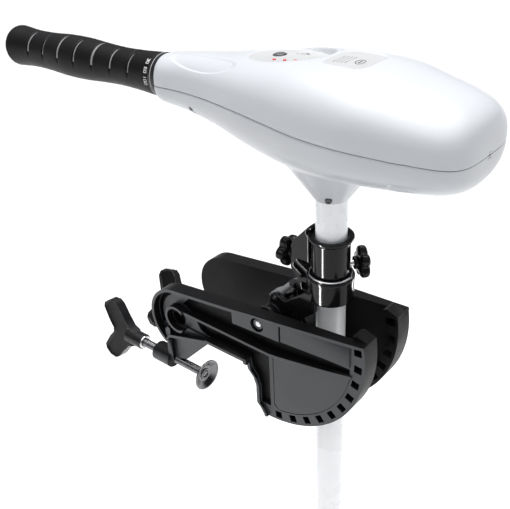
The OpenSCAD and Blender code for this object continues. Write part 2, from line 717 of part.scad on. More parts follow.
module near_plate_solid() {
    difference() {
        union() {
            layer(gap_half, gap_half + web_t) plate_outline();
            layer(gap_half + web_t - 0.5, panel_y) difference() {
                plate_outline();
                pockets();
            }
            intersection() {
                union() {
                    layer(panel_y - 1, flange_y) union() {
                        difference() {
                            edge_strip(strip_w);
                            translate([-16, -60]) square([160, 88]);
                        }
                        polygon([[-22, 74], [34, 75], [34, 100], [-22, 92]]);
                        difference() {
                            polygon(concat(arc(loop_c, 16, 60, 290, 16), [[-94, 34], [-94, 57]]));
                            polygon(arc(loop_c, 13, 0, 360, 20));
                        }
                    }
                    layer(panel_y - 1, flange_y - 2) union() {
                        polygon(mid_rib);
                        polygon([[36, 76], [110, 77.5], [110, 106], [36, 106]]);
                    }
                    layer(panel_y - 1, panel_y + 3) edge_strip(strip_w);
                }
                plan_limit();
                layer(panel_y - 2, flange_y + 1) plate_outline();
            }
            sector(rim_in, quadrant_r, ring_y, gap_half + 1);
            // rear stop lug
            layer(ring_y, gap_half + 1) polygon([[108, 92], [122.5, 92], [122.5, 105], [112, 109], [108, 107]]);
            // clamp ear and screw boss
            layer(gap_half + 4, gap_half + 9) polygon([[-123, 20], [-123, -20], [-100, -12], [-58, 32], [-110, 33]]);
            layer(gap_half + 1, flange_y - 2) polygon([[-124, 22], [-124, -22], [-117, -22], [-117, 24], [-120, 26]]);
            translate([0, -clamp_y, clamp_z]) rod_x(boss_front, boss_back, 11);
        }
        for (i = [0:window_count - 1]) {
            window(i, window_r - 4, window_r + 4, gap_half - 1, flange_y + 1);
            window(i, rim_in - 1, window_r + 4, ring_y - 1, gap_half);
        }
        at_pivot() rod_y(-50, -20, 7.5 + eps);
        at_pivot() rod_y(-41, -34, 5 + eps);
        translate([0, -clamp_y, clamp_z]) {
            rod_x(boss_front + 2, boss_back - 2, 7.5);
            rod_x(boss_front - 1, boss_back + 16, clamp_d / 2 + 0.5);
        }
        for (z = [-14, 16]) translate([9, 0, z]) rod_y(-dowel_half - 0.1, -20, 3.05);
        // groove that outlines the quadrant's panel
        layer(panel_y - 0.8, panel_y + 1) difference() {
            polygon(concat([[20.5, 54], [20.5, -14]], arc([pivot_x, pivot_z], 104, -80, -8, 12)));
            polygon(concat([[21.3, 54.5], [21.3, -13]], arc([pivot_x, pivot_z], 103.2, -80, -8, 12)));
        }
    }
}

module near_plate() { color("#2b2d2f") near_plate_solid(); }
module far_plate() { color("#1c1d1e") mirror([0, 1, 0]) near_plate_solid(); }

// ---------- transom block and clamps ----------

module transom_block() {
    color("black") difference() {
        translate([0, -gap_half + 0.05, -28]) cube([14, 2 * gap_half - 0.1, 56]);
        for (z = [-14, 16]) translate([9, 0, z]) rod_y(-60, 60, 3.05);
        translate([4, -20, -20]) cube([20, 40, 14]);
        translate([4, -20, 4]) cube([20, 40, 14]);
    }
}

module block_dowels() {
    color("silver") for (z = [-14, 16]) translate([9, 0, z]) rod_y(-dowel_half, dowel_half, 3);
}

module clamp_inserts() {
    color("goldenrod") for (side = [-1, 1]) translate([0, side * clamp_y, clamp_z]) difference() {
        rod_x(boss_front + 2.05, boss_back - 2.05, 7.45);
        rod_x(boss_front - 1, boss_back + 1, clamp_d / 2 + eps);
    }
}

module clamp_screw(side) {
    color("silver") translate([0, side * clamp_y, clamp_z]) {
        rod_x(hub_face - 12, pad_face - 8.1, clamp_d / 2);
        rod_x(pad_face - 8.1, pad_face - 3.5, 4);
    }
}

// Swept two-winged clamp handle, turned about its own axis by turn
module clamp_handle(side, turn) {
    upper = [[-12, 9], [-20, 12], [-28, 21], [-38, 34], [-44, 37.5], [-53, 36.5], [-60, 31], [-61, 25], [-52, 10],
             [-46, 3]];
    wing = concat(upper, [for (i = [len(upper) - 1:-1:0]) [upper[i][0], -upper[i][1]]]);
    color("black") translate([hub_face, side * clamp_y, clamp_z]) rotate([turn, 0, 0]) difference() {
        union() {
            rod_x(-24, 0, 9);
            layer(-5.5, 5.5) polygon(wing);
        }
        rod_x(-12 - eps, 1, clamp_d / 2 + eps);
    }
}

module clamp_pad(side) {
    color("silver") translate([pad_face, side * clamp_y, clamp_z])
        turned_x([[-8, 4.05], [-8, 8], [-6.5, 9], [-1.5, pad_r], [0, pad_r], [0, pad_r - 1.5],
                  [-4.5, 9], [-4.5, 6], [-3, 6], [-3, 4.05]]);
}

// ---------- lower unit ----------

module at_pod() { translate([shaft_x, 0, pod_z]) children(); }

module motor_housing() {
    socket_low = pod_z + pod_r - 12;
    fin = [[-10, -40], [70, -40], [62, -96], [50, -108], [30, -108], [12, -80]];
    color("#303234") difference() {
        union() {
            at_pod() rod_x(pod_front, pod_back, pod_r);
            at_shaft() translate([0, 0, socket_low]) cylinder(h = 52, r1 = 28, r2 = 20);
            at_pod() layer(-4, 4) polygon(fin);
        }
        at_pod() rod_x(pod_front - 1, pod_back + 1, pod_r - 3.5);
        at_shaft() translate([0, 0, pod_z]) cylinder(h = 120, r = fit_r);
    }
}

module nose_cone() {
    l = 80;
    color("#303234") at_pod() difference() {
        turned_x(concat([[pod_front - 0.1, 0]],
            [for (a = [0:9:90]) [pod_front - 0.1 - l * sin(a), pod_r * pow(cos(a), 0.75)]]));
        rod_x(pod_front - 14, pod_front + 1, 13.05);
        for (side = [-1, 1]) translate([0, 0, side * 39]) rod_x(pod_front - 12, pod_front + 1, 2.55);
    }
}

module rear_end_bell() {
    color("#303234") at_pod() difference() {
        turned_x([[pod_back + 0.1, 0], [pod_back + 0.1, pod_r], [pod_back + 12, pod_r - 1.5],
                  [pod_back + 26, pod_r - 8], [pod_back + 34, 30], [pod_back + 34, 0]]);
        rod_x(pod_back - 1, pod_back + 22, 13.05);
        rod_x(pod_back, pod_back + 40, 8.05);
        for (side = [-1, 1]) translate([0, 0, side * 39]) {
            rod_x(pod_back, pod_back + 40, 2.55);
            rod_x(pod_back + 14, pod_back + 40, 4.6);
        }
    }
}

module magnets() {
    color("dimgray") at_pod() for (side = [0, 1]) mirror([0, side, 0]) intersection() {
        difference() {
            rod_x(-50, 50, pod_r - 3.6);
            rod_x(-51, 51, 37.5);
        }
        translate([-60, 12, -60]) cube([120, 60, 120]);
    }
}

module armature() {
    color("chocolate") at_pod() {
        difference() {
            rod_x(-42, 42, 36.8);
            for (i = [0:11]) rotate([360 * i / 12, 0, 0]) translate([-50, -1.5, 30]) cube([100, 3, 10]);
        }
        rod_x(-52, -41, 26);
        rod_x(41, 52, 26);
        difference() {
            rod_x(-96, pod_back + 84, 5);
            translate([pin_x, 0, 0]) rod_y(-10, 10, 2.5 + eps);
        }
    }
}

module commutator() {
    color("peru") at_pod() difference() {
        rod_x(-72, -54, 15);
        rod_x(-80, -50, 5 + eps);
        for (i = [0:11]) rotate([360 * i / 12, 0, 0]) translate([-73, -0.4, 13]) cube([20, 0.8, 4]);
    }
}

module brush_plate() {
    color("tan") at_pod() {
        difference() {
            rod_x(-82, -79, 34);
            rod_x(-84, -70, 13);
            for (side = [-1, 1]) translate([0, 0, side * 39]) rod_x(-90, -70, 6);
        }
        for (side = [-1, 1]) translate([-79, -4, side > 0 ? 15.1 : -29.1]) cube([18, 8, 14]);
    }
}

module front_bearing() {
    color("silver") at_pod() difference() {
        rod_x(pod_front - 12, pod_front - 4, 13);
        rod_x(pod_front - 13, pod_front, 5 + eps);
    }
}

module rear_bearing() {
    color("silver") at_pod() {
        difference() {
            rod_x(pod_back + 13, pod_back + 21, 13);
            rod_x(pod_back + 12, pod_back + 22, 5 + eps);
        }
        difference() {
            rod_x(pod_back + 23, pod_back + 32, 8);
            rod_x(pod_back + 22, pod_back + 33, 5 + eps);
        }
    }
}

module through_bolts() {
    color("silver") at_pod() for (side = [-1, 1]) translate([0, 0, side * 39]) {
        rod_x(pod_front - 11, pod_back + 14, 2.5);
        rod_x(pod_back + 14.1, pod_back + 18, 4.5);
    }
}

blade_stations = 9;

// Section of a propeller blade at share k of its span: a thin twisted lens
function blade_section(k) =
    let (r = 24 + (prop_r - 24) * k, chord = 34 + 42 * sin(150 * k + 15) * (1 - 0.45 * k * k * k),
         pitch = 58 - 34 * k, t = 5.5 - 3.5 * k, sweep = 10 * k * k, m = 5)
    [for (j = [0:2 * m - 1]) let (u = j <= m ? j / m : (2 * m - j) / m, c = (u - 0.5) * chord,
                                  h = (j <= m ? 1 : -1) * t * sqrt(max(u * (1 - u), 0.0009)))
        [c * cos(pitch) + h * sin(pitch) + sweep, c * sin(pitch) - h * cos(pitch), r]];

module blade() {
    n = len(blade_section(0));
    points = [for (i = [0:blade_stations - 1]) each blade_section(i / (blade_stations - 1))];
    walls = [for (i = [0:blade_stations - 2], j = [0:n - 1]) let (k = (j + 1) % n)
        [i * n + j, (i + 1) * n + j, (i + 1) * n + k, i * n + k]];
    root = [for (j = [0:n - 1]) j];
    tip = [for (j = [n - 1:-1:0]) (blade_stations - 1) * n + j];
    polyhedron(points, concat([root], walls, [tip]));
}

module propeller() {
    color("#222426") at_pod() translate([hub_x, 0, 0]) difference() {
        union() {
            rod_x(0, 44, 29, 25);
            for (a = [0, 180]) rotate([a, 0, 0]) translate([22, 0, 0]) blade();
        }
        rod_x(-1, 60, 5 + eps);
        translate([-1, -13, -2.5 - eps]) cube([pin_x - hub_x + 3.5 + eps, 26, 5 + 2 * eps]);
    }
}

module drive_pin() {
    color("silver") at_pod() translate([pin_x, 0, 0]) rod_y(-12, 12, 2.5);
}

module prop_nut() {
    color("silver") at_pod() difference() {
        turned_x([[hub_x + 44.1, 0], [hub_x + 44.1, 14], [hub_x + 54, 14], [hub_x + 64, 8], [hub_x + 66, 0]]);
        rod_x(hub_x + 40, pod_back + 84 + eps, 5 + eps);
    }
}

// ---------- output ----------

top_cover();
lower_cover();
meter_panel();
rear_label();
test_button();
meter_board();
meter_leds();
speed_controller();
cover_screws();
cable_gland();
neck_screw();
tiller_sleeve();
tiller_tube();
throttle_rod();
grip_core();
grip();
grip_end_cap();
dial_ring();
shaft_tube();
wire_bundle();
depth_collar();
collar_washer();
depth_knob();
depth_screw();
carrier();
carrier_bushing();
tension_knob();
tension_screw();
tilt_lever();
lever_pin_rod();
latch_bar();
latch_rod();
latch_spring();
pivot_bolt();
pivot_nut();
pivot_bushings();
near_plate();
far_plate();
transom_block();
block_dowels();
clamp_inserts();
clamp_screw(-1);  // near_clamp_screw
clamp_handle(-1, -8);  // near_clamp_handle
clamp_pad(-1);  // near_clamp_pad
clamp_screw(1);  // far_clamp_screw
clamp_handle(1, -30);  // far_clamp_handle
clamp_pad(1);  // far_clamp_pad
motor_housing();
nose_cone();
rear_end_bell();
magnets();
armature();
commutator();
brush_plate();
front_bearing();
rear_bearing();
through_bolts();
propeller();
drive_pin();
prop_nut();
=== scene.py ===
"""Looks of a transom-mount electric trolling motor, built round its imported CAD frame.

Lengths are millimetres, apart from names that end in _M, lights and materials, which are metres. Most shapes
are given in LOCAL, whose X runs from the shaft's axis, or in TILLER, whose X runs along the tiller. Pieces at
-Y are the near ones.
"""
import json
import math

import bmesh
import bpy
import numpy as np
from mathutils import Matrix, Vector

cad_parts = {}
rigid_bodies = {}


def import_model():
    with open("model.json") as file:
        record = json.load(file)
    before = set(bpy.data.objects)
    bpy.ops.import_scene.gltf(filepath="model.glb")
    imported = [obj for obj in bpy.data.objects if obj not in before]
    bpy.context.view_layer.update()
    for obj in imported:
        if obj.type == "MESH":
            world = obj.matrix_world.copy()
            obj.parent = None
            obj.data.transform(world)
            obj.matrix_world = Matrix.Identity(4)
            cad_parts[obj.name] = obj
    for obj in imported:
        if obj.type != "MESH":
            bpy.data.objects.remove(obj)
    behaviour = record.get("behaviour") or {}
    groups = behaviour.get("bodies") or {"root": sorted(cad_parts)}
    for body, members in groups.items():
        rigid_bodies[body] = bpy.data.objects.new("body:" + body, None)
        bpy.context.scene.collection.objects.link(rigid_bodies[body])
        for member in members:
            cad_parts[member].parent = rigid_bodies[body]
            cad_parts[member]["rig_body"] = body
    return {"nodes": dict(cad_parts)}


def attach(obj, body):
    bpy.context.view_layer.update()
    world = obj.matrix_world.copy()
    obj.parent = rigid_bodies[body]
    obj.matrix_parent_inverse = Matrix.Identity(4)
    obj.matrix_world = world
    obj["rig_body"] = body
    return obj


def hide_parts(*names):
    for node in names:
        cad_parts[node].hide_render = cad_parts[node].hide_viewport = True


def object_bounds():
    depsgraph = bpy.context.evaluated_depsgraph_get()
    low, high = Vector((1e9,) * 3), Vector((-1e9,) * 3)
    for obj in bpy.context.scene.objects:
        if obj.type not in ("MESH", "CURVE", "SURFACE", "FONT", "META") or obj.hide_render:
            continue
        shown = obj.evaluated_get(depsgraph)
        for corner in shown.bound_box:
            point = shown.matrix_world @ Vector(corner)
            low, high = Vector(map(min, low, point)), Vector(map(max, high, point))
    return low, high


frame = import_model()
cad_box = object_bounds()

nodes = frame["nodes"]
MM = 0.001
SHAFT_X = 62.0                      # the shaft's axis in the part frame
TILLER_Z, TILLER_DROOP = 294.3, math.radians(-2)
PIVOT_X, PIVOT_Z = 8.5, 84.0        # the tilt pivot in the part frame
LOCAL = Matrix.Translation((SHAFT_X, 0, 0))
TILLER = Matrix.Translation((SHAFT_X, 0, TILLER_Z)) @ Matrix.Rotation(TILLER_DROOP, 4, "Y")
UP = Matrix(((0, 0, 1, 0), (0, 1, 0, 0), (1, 0, 0, 0), (0, 0, 0, 1)))   # turns a lathe's axis from X to Z
AXIS = 0.01                         # radius at which a lathe's profile closes on its axis

# ---------- camera, light and world ----------

AZIMUTH, ELEVATION = math.radians(36), math.radians(31)
CAMERA_PLACE_M = (0.3873, -0.4658, 0.5007)
SENSOR_WIDTH = 36
LENS = 740 / 510 * SENSOR_WIDTH     # the focal length is 740 widths of a pixel in a picture 510 wide
CAMERA_SHIFT = (-0.1261, -0.001)
CAMERA_CLIP_M = (0.01, 50)
SKY_DARK, SKY_LIGHT = (0.07, 0.072, 0.076, 1), (1.0, 1.0, 1.0, 1)
SKY_DARK_END, SKY_LIGHT_START = 0.66, 0.88      # positions on the ramp from the sky's low to its high parts
SKY_STRENGTH = 3.0


def add_camera():
    data = bpy.data.cameras.new("camera")
    camera = bpy.data.objects.new("camera", data)
    bpy.context.scene.collection.objects.link(camera)
    right = Vector((math.cos(AZIMUTH), math.sin(AZIMUTH), 0))
    back = Vector((math.sin(AZIMUTH) * math.cos(ELEVATION), -math.cos(AZIMUTH) * math.cos(ELEVATION),
                   math.sin(ELEVATION)))
    up = back.cross(right)
    place = Matrix((right, up, back)).transposed().to_4x4()
    place.translation = CAMERA_PLACE_M
    camera.matrix_world = place
    data.sensor_fit = "HORIZONTAL"
    data.sensor_width = SENSOR_WIDTH
    data.lens = LENS
    data.shift_x, data.shift_y = CAMERA_SHIFT
    data.clip_start, data.clip_end = CAMERA_CLIP_M
    bpy.context.scene.camera = camera


def add_light(name, location, target, size, energy, size_y=None, gloss_only=False, receivers=None):
    """An area light that the camera doesn't see, with places and sizes in metres.

    gloss_only keeps it to reflections, and receivers to the pieces listed.
    """
    data = bpy.data.lights.new(name, "AREA")
    data.energy = energy
    data.size = size
    if size_y:
        data.shape = "RECTANGLE"
        data.size_y = size_y
    light = bpy.data.objects.new(name, data)
    light.location = location
    light.rotation_mode = "QUATERNION"
    light.rotation_quaternion = (Vector(target) - Vector(location)).to_track_quat("-Z", "Y")
    light.visible_camera = False
    light.visible_diffuse = not gloss_only
    if receivers:
        group = bpy.data.collections.new(name + "_receivers")
        for obj in receivers:
            group.objects.link(obj)
        light.light_linking.receiver_collection = group
    bpy.context.scene.collection.objects.link(light)


def add_world():
    """A soft sky that is dark below and white above, so that glossy sides reflect a dark room."""
    world = bpy.data.worlds.new("studio")
    bpy.context.scene.world = world
    world.use_nodes = True
    tree = world.node_tree
    background = tree.nodes["Background"]
    coord = tree.nodes.new("ShaderNodeTexCoord")
    split = tree.nodes.new("ShaderNodeSeparateXYZ")
    ramp = tree.nodes.new("ShaderNodeValToRGB")
    tree.links.new(coord.outputs["Generated"], split.inputs[0])
    tree.links.new(split.outputs["Z"], ramp.inputs[0])
    stops = ((SKY_DARK_END, SKY_DARK), (SKY_LIGHT_START, SKY_LIGHT))
    for element, (position, color) in zip(ramp.color_ramp.elements, stops):
        element.position = position
        element.color = color
    tree.links.new(ramp.outputs[0], background.inputs[0])
    background.inputs[1].default_value = SKY_STRENGTH
    bpy.context.scene.view_settings.view_transform = "Standard"


# ---------- materials ----------


def link(tree, source, target):
    tree.links.new(source, target)


def noise_node(tree, coord, scale, detail, stretch=None):
    texture = tree.nodes.new("ShaderNodeTexNoise")
    texture.inputs["Scale"].default_value = scale
    texture.inputs["Detail"].default_value = detail
    if stretch:
        mapping = tree.nodes.new("ShaderNodeMapping")
        mapping.inputs["Scale"].default_value = stretch
        link(tree, coord, mapping.inputs[0])
        coord = mapping.outputs[0]
    link(tree, coord, texture.inputs["Vector"])
    return texture.outputs["Fac"]


def range_node(tree, value, low, high, to_low, to_high):
    node = tree.nodes.new("ShaderNodeMapRange")
    link(tree, value, node.inputs["Value"])
    for key, number in (("From Min", low), ("From Max", high), ("To Min", to_low), ("To Max", to_high)):
        node.inputs[key].default_value = number
    return node.outputs["Result"]


def mix_node(tree, factor, first, second):
    node = tree.nodes.new("ShaderNodeMix")
    node.data_type = "RGBA"
    link(tree, factor, node.inputs[0])
    for socket, value in ((node.inputs[6], first), (node.inputs[7], second)):
        if isinstance(value, bpy.types.NodeSocket):
            link(tree, value, socket)
        else:
            socket.default_value = (*value, 1)
    return node.outputs[2]


def make_material(name, color, rough, metal=0.0, coat=0.0, mottle=0.06, patch=0.03, grain=0.0005, bump=0.12,
                  rough_swing=0.08, wear_and_highlight=0.0, wear_and_highlight_color=None, stretch=None, specular=0.5):
    """A finish with colour and gloss that vary over patches, a fine grained bump, and lighter edges for wear
    and a painted highlight.

    patch and grain are the sizes of the spots.
    """
    material = bpy.data.materials.new(name)
    material.use_nodes = True
    tree = material.node_tree
    shader = tree.nodes["Principled BSDF"]
    coord = tree.nodes.new("ShaderNodeTexCoord").outputs["Object"]
    large = noise_node(tree, coord, 1 / patch, 3)
    fine = noise_node(tree, coord, 1 / grain, 2, stretch)
    darker = tuple(c * (1 - mottle) for c in color)
    lighter = tuple(min(c * (1 + mottle), 1) for c in color)
    tone = mix_node(tree, range_node(tree, large, 0.3, 0.7, 0, 1), darker, lighter)
    speck = range_node(tree, fine, 0.35, 0.65, 0, mottle * 2)
    tone = mix_node(tree, speck, tone, tuple(c * 0.6 for c in color))
    round_edge = tree.nodes.new("ShaderNodeBevel")
    round_edge.samples = 4
    round_edge.inputs["Radius"].default_value = 0.0005
    # lighter edges: partly wear, partly a painted highlight where edges would catch light
    if wear_and_highlight:
        flat = tree.nodes.new("ShaderNodeNewGeometry").outputs["Normal"]
        dot = tree.nodes.new("ShaderNodeVectorMath")
        dot.operation = "DOT_PRODUCT"
        link(tree, round_edge.outputs[0], dot.inputs[0])
        link(tree, flat, dot.inputs[1])
        rim = range_node(tree, dot.outputs["Value"], 0.995, 0.85, 0, wear_and_highlight)
        product = tree.nodes.new("ShaderNodeMath")
        product.operation = "MULTIPLY"
        link(tree, rim, product.inputs[0])
        link(tree, range_node(tree, large, 0.25, 0.6, 0.3, 1), product.inputs[1])
        tone = mix_node(tree, product.outputs[0], tone, wear_and_highlight_color)
    link(tree, tone, shader.inputs["Base Color"])
    link(tree, range_node(tree, large, 0.25, 0.75, max(rough - rough_swing, 0.02), rough + rough_swing),
         shader.inputs["Roughness"])
    shader.inputs["Metallic"].default_value = metal
    shader.inputs["Specular IOR Level"].default_value = specular
    shader.inputs["Coat Weight"].default_value = coat
    shader.inputs["Coat Roughness"].default_value = 0.08
    bumps = tree.nodes.new("ShaderNodeBump")
    bumps.inputs["Strength"].default_value = bump
    bumps.inputs["Distance"].default_value = grain
    link(tree, fine, bumps.inputs["Height"])
    link(tree, round_edge.outputs[0], bumps.inputs["Normal"])
    link(tree, bumps.outputs[0], shader.inputs["Normal"])
    return material


# one finish for each slot of the CAD; their lighter edges stand for wear and a painted highlight
FINISHES = {
    "head_shell": dict(color=(0.50, 0.515, 0.54), rough=0.30, coat=0.1, mottle=0.015, patch=0.08,
                       grain=0.0009, bump=0.03, rough_swing=0.04),
    "label_grey": dict(color=(0.41, 0.415, 0.42), rough=0.42, mottle=0.03, grain=0.0004, bump=0.08),
    "black_plastic": dict(color=(0.008, 0.008, 0.009), rough=0.30, specular=0.35, mottle=0.2, grain=0.0006,
                          bump=0.10, wear_and_highlight=0.35, wear_and_highlight_color=(0.07, 0.07, 0.072)),
    "circuit_board": dict(color=(0.02, 0.14, 0.05), rough=0.4, mottle=0.25, patch=0.006, grain=0.001),
    "red_lens": dict(color=(0.55, 0.01, 0.012), rough=0.2, coat=0.6, mottle=0.1, patch=0.002),
    "wire_red": dict(color=(0.42, 0.02, 0.015), rough=0.45, mottle=0.08, patch=0.02, grain=0.0008),
    "grip_rubber": dict(color=(0.006, 0.006, 0.0065), rough=0.45, specular=0.12, mottle=0.2, patch=0.02,
                        grain=0.0007, bump=0.25, wear_and_highlight=0.2, wear_and_highlight_color=(0.03, 0.03, 0.031)),
    "shaft_composite": dict(color=(0.92, 0.93, 0.945), rough=0.28, mottle=0.02, patch=0.05, grain=0.0007,
                            bump=0.06, stretch=(6, 6, 0.15), coat=0.6),
    "bracket_grey": dict(color=(0.015, 0.018, 0.0225), rough=0.36, mottle=0.16, patch=0.035, grain=0.0007,
                         bump=0.22, wear_and_highlight=0.5, wear_and_highlight_color=(0.11, 0.115, 0.12)),
    "white_bushing": dict(color=(0.68, 0.68, 0.66), rough=0.4, mottle=0.04, grain=0.0006),
    "lever_grey": dict(color=(0.20, 0.205, 0.21), rough=0.38, mottle=0.08, grain=0.0006, bump=0.12,
                       wear_and_highlight=0.3, wear_and_highlight_color=(0.45, 0.45, 0.45)),
    "steel": dict(color=(0.62, 0.62, 0.63), rough=0.2, metal=1.0, mottle=0.08, patch=0.01, grain=0.0005,
                  bump=0.06, rough_swing=0.08),
    "brass": dict(color=(0.62, 0.42, 0.16), rough=0.3, metal=1.0, mottle=0.12, patch=0.008, grain=0.0005),
    "copper": dict(color=(0.60, 0.27, 0.14), rough=0.35, metal=1.0, mottle=0.15, patch=0.006, grain=0.0008,
                   bump=0.3, stretch=(0.2, 3, 3)),
    "tiller_alloy": dict(color=(0.5, 0.51, 0.53), rough=0.3, metal=1.0, mottle=0.06, patch=0.03,
                         grain=0.0005, stretch=(0.1, 5, 5)),
    "pod_paint": dict(color=(0.028, 0.030, 0.033), rough=0.3, coat=0.5, mottle=0.1, patch=0.05, grain=0.001,
                      bump=0.12, wear_and_highlight=0.35, wear_and_highlight_color=(0.16, 0.16, 0.17)),
    "magnet_grey": dict(color=(0.06, 0.06, 0.065), rough=0.6, mottle=0.2, patch=0.01, grain=0.0008,
                        bump=0.3),
    "prop_plastic": dict(color=(0.014, 0.015, 0.016), rough=0.35, mottle=0.2, patch=0.04, grain=0.0008,
                         bump=0.14, wear_and_highlight=0.4, wear_and_highlight_color=(0.10, 0.10, 0.105)),
}
# finishes for marks and for pieces whose look isn't their slot's; lighter edges here too stand for wear and a
# painted highlight
ACCENTS = {
    # grey for printed marks, and a painted highlight on the grip's grooves
    "grey_print_and_groove_highlight": dict(color=(0.24, 0.24, 0.245), rough=0.55, mottle=0.15, patch=0.006, grain=0.0005,
                        bump=0.2),
    "print_white": dict(color=(0.75, 0.75, 0.75), rough=0.5, mottle=0.08, patch=0.002, grain=0.0003),
    "print_dark": dict(color=(0.06, 0.06, 0.065), rough=0.45, mottle=0.1, patch=0.002, grain=0.0003),
    "button_grey": dict(color=(0.10, 0.10, 0.105), rough=0.35, mottle=0.1, patch=0.004, grain=0.0004),
    "lamp_pale": dict(color=(0.5, 0.42, 0.40), rough=0.25, coat=0.5, mottle=0.08, patch=0.002),
    "dark_steel": dict(color=(0.10, 0.10, 0.105), rough=0.3, metal=1.0, mottle=0.12, patch=0.01,
                       grain=0.0005),
    "thread_steel": dict(color=(0.20, 0.20, 0.205), rough=0.25, metal=1.0, mottle=0.15, patch=0.006,
                         grain=0.0005, wear_and_highlight=0.3, wear_and_highlight_color=(0.7, 0.7, 0.7)),
    "hinge_black": dict(color=(0.006, 0.006, 0.007), rough=0.12, mottle=0.15, patch=0.02, grain=0.0006,
                        bump=0.03, rough_swing=0.03, specular=0.2),
    "handle_black": dict(color=(0.008, 0.008, 0.009), rough=0.3, specular=0.3, mottle=0.2, patch=0.02,
                         grain=0.0006, wear_and_highlight=0.75, wear_and_highlight_color=(0.30, 0.30, 0.31)),
    "seam_grey": dict(color=(0.17, 0.17, 0.175), rough=0.6, mottle=0.1, patch=0.01, grain=0.0005),
    # painted shade: a near-black copy of the plates' grey, for plate faces in shade and for the handles'
    # hollows
    "painted_shade_black": dict(color=(0.005, 0.005, 0.0055), rough=0.45, specular=0.14, mottle=0.15, patch=0.02,
                        grain=0.0008, bump=0.2),
    "floor": dict(color=(0.84, 0.84, 0.84), rough=0.8, specular=0.1, mottle=0.01, patch=0.5, grain=0.01,
                  bump=0.02),
}
finish = {name: make_material(name, **spec) for name, spec in FINISHES.items()}
accent = {name: make_material(name, **spec) for name, spec in ACCENTS.items()}

# ---------- helpers ----------

cad_slot = {name: node.data.materials[0].name.split(".")[0] for name, node in nodes.items()}
CRISP, SOFT_CRISP = 50, 40          # an edge that turns by more than this many degrees stays crisp
BEVEL_FROM = 30                     # only edges that turn by more than this many degrees are rounded


def settle(obj, *cad_nodes, beside=None):
    """Rides obj on its CAD node's body: it stands for cad_nodes, or else sits beside the node named."""
    node = cad_nodes[0] if cad_nodes else beside
    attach(obj, nodes[node]["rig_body"])
    if cad_nodes:
        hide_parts(*cad_nodes)


def add_mesh(name, points, faces, looks, place=None, marks=None, sharp=None, merge=True):
    """A smooth-shaded mesh from points in millimetres, moved by the matrix place.

    marks gives each face's material index; an edge that turns by more than sharp degrees stays crisp.
    """
    mesh = bpy.data.meshes.new(name)
    points = np.asarray(points, float)
    if place is not None:
        turn = np.array(place)
        points = points @ turn[:3, :3].T + turn[:3, 3]
    mesh.from_pydata((points * MM).tolist(), [], [tuple(int(i) for i in f) for f in faces])
    for look in looks:
        mesh.materials.append(look)
    mesh.polygons.foreach_set("use_smooth", [True] * len(mesh.polygons))
    if marks is not None:
        mesh.polygons.foreach_set("material_index", [int(m) for m in marks])
    tidy_mesh(mesh, sharp, merge)
    obj = bpy.data.objects.new(name, mesh)
    bpy.context.scene.collection.objects.link(obj)
    return obj


def tidy_mesh(mesh, sharp, merge):
    bm = bmesh.new()
    bm.from_mesh(mesh)
    if merge:
        bmesh.ops.remove_doubles(bm, verts=bm.verts, dist=1e-6)
    bmesh.ops.recalc_face_normals(bm, faces=bm.faces)
    if sharp:
        crisp_edges(bm, sharp)
    bm.to_mesh(mesh)
    bm.free()


def crisp_edges(bm, degrees):
    limit = math.radians(degrees)
    for edge in bm.edges:
        edge.smooth = len(edge.link_faces) != 2 or edge.calc_face_angle(0) < limit


def ring_point(x, radius, angle):
    """A point on a ring about X."""
    return (x, radius * math.cos(angle), radius * math.sin(angle))


def turns(count):
    """Evenly spaced angles round a full turn."""
    return [2 * math.pi * j / count for j in range(count)]


def grid_faces(rows, columns, closed=True):
    """Quads between rows of points; closed joins the last column to the first."""
    faces = []
    for i in range(rows - 1):
        for j in range(columns if closed else columns - 1):
            k = (j + 1) % columns
            faces.append((i * columns + j, i * columns + k, (i + 1) * columns + k, (i + 1) * columns + j))
    return faces


def filleted(profile, radius):
    """Rounds the corners of an open profile by a small radius."""
    steps = 4
    points = [np.array(p, float) for p in profile]
    out = [points[0]]
    for before, here, after in zip(points, points[1:], points[2:]):
        back, ahead = before - here, after - here
        size = min(radius, np.linalg.norm(back) * 0.45, np.linalg.norm(ahead) * 0.45)
        start = here + back / max(np.linalg.norm(back), 1e-9) * size
        end = here + ahead / max(np.linalg.norm(ahead), 1e-9) * size
        for k in range(steps + 1):
            t = k / steps
            out.append(start * (1 - t) ** 2 + here * 2 * t * (1 - t) + end * t ** 2)
    out.append(points[-1])
    return out


def closed(profile):
    """The points with the first one again at the end."""
    return profile + [profile[0]]


def shifted(start, profile):
    """The profile with start added to its distances along."""
    return [(start + along, radius) for along, radius in profile]


def lathe(name, profile, look, place, node=None, beside=None, fillet=0, sides=96, sharp=None):
    """A piece turned from a profile of (along, radius) points about X, then moved by place.

    It stands for the CAD node named, or else sits beside another; fillet rounds its profile's corners.
    """
    if fillet:
        profile = filleted(profile, fillet)
    points = [ring_point(along, max(radius, 0.001), a) for along, radius in profile for a in turns(sides)]
    piece = add_mesh(name, points, grid_faces(len(profile), sides), [look], place, sharp=sharp)
    settle(piece, *([node] if node else []), beside=beside)


def bevelled(bm, width):
    """Rounds the mesh's edges."""
    limit = math.radians(BEVEL_FROM)
    edges = [e for e in bm.edges if len(e.link_faces) == 2 and e.calc_face_angle(0) > limit]
    bmesh.ops.bevel(bm, geom=edges, offset=width * MM, segments=2, profile=0.6, affect="EDGES",
                    clamp_overlap=True)


def from_bmesh(name, bm, looks):
    """An object from a bmesh, which is used up."""
    crisp_edges(bm, CRISP)
    for face in bm.faces:
        face.smooth = True
    mesh = bpy.data.meshes.new(name)
    bm.to_mesh(mesh)
    bm.free()
    for look in looks:
        mesh.materials.append(look)
    obj = bpy.data.objects.new(name, mesh)
    bpy.context.scene.collection.objects.link(obj)
    weighted = obj.modifiers.new("weighted_normals", "WEIGHTED_NORMAL")
    weighted.keep_sharp = True
    return obj


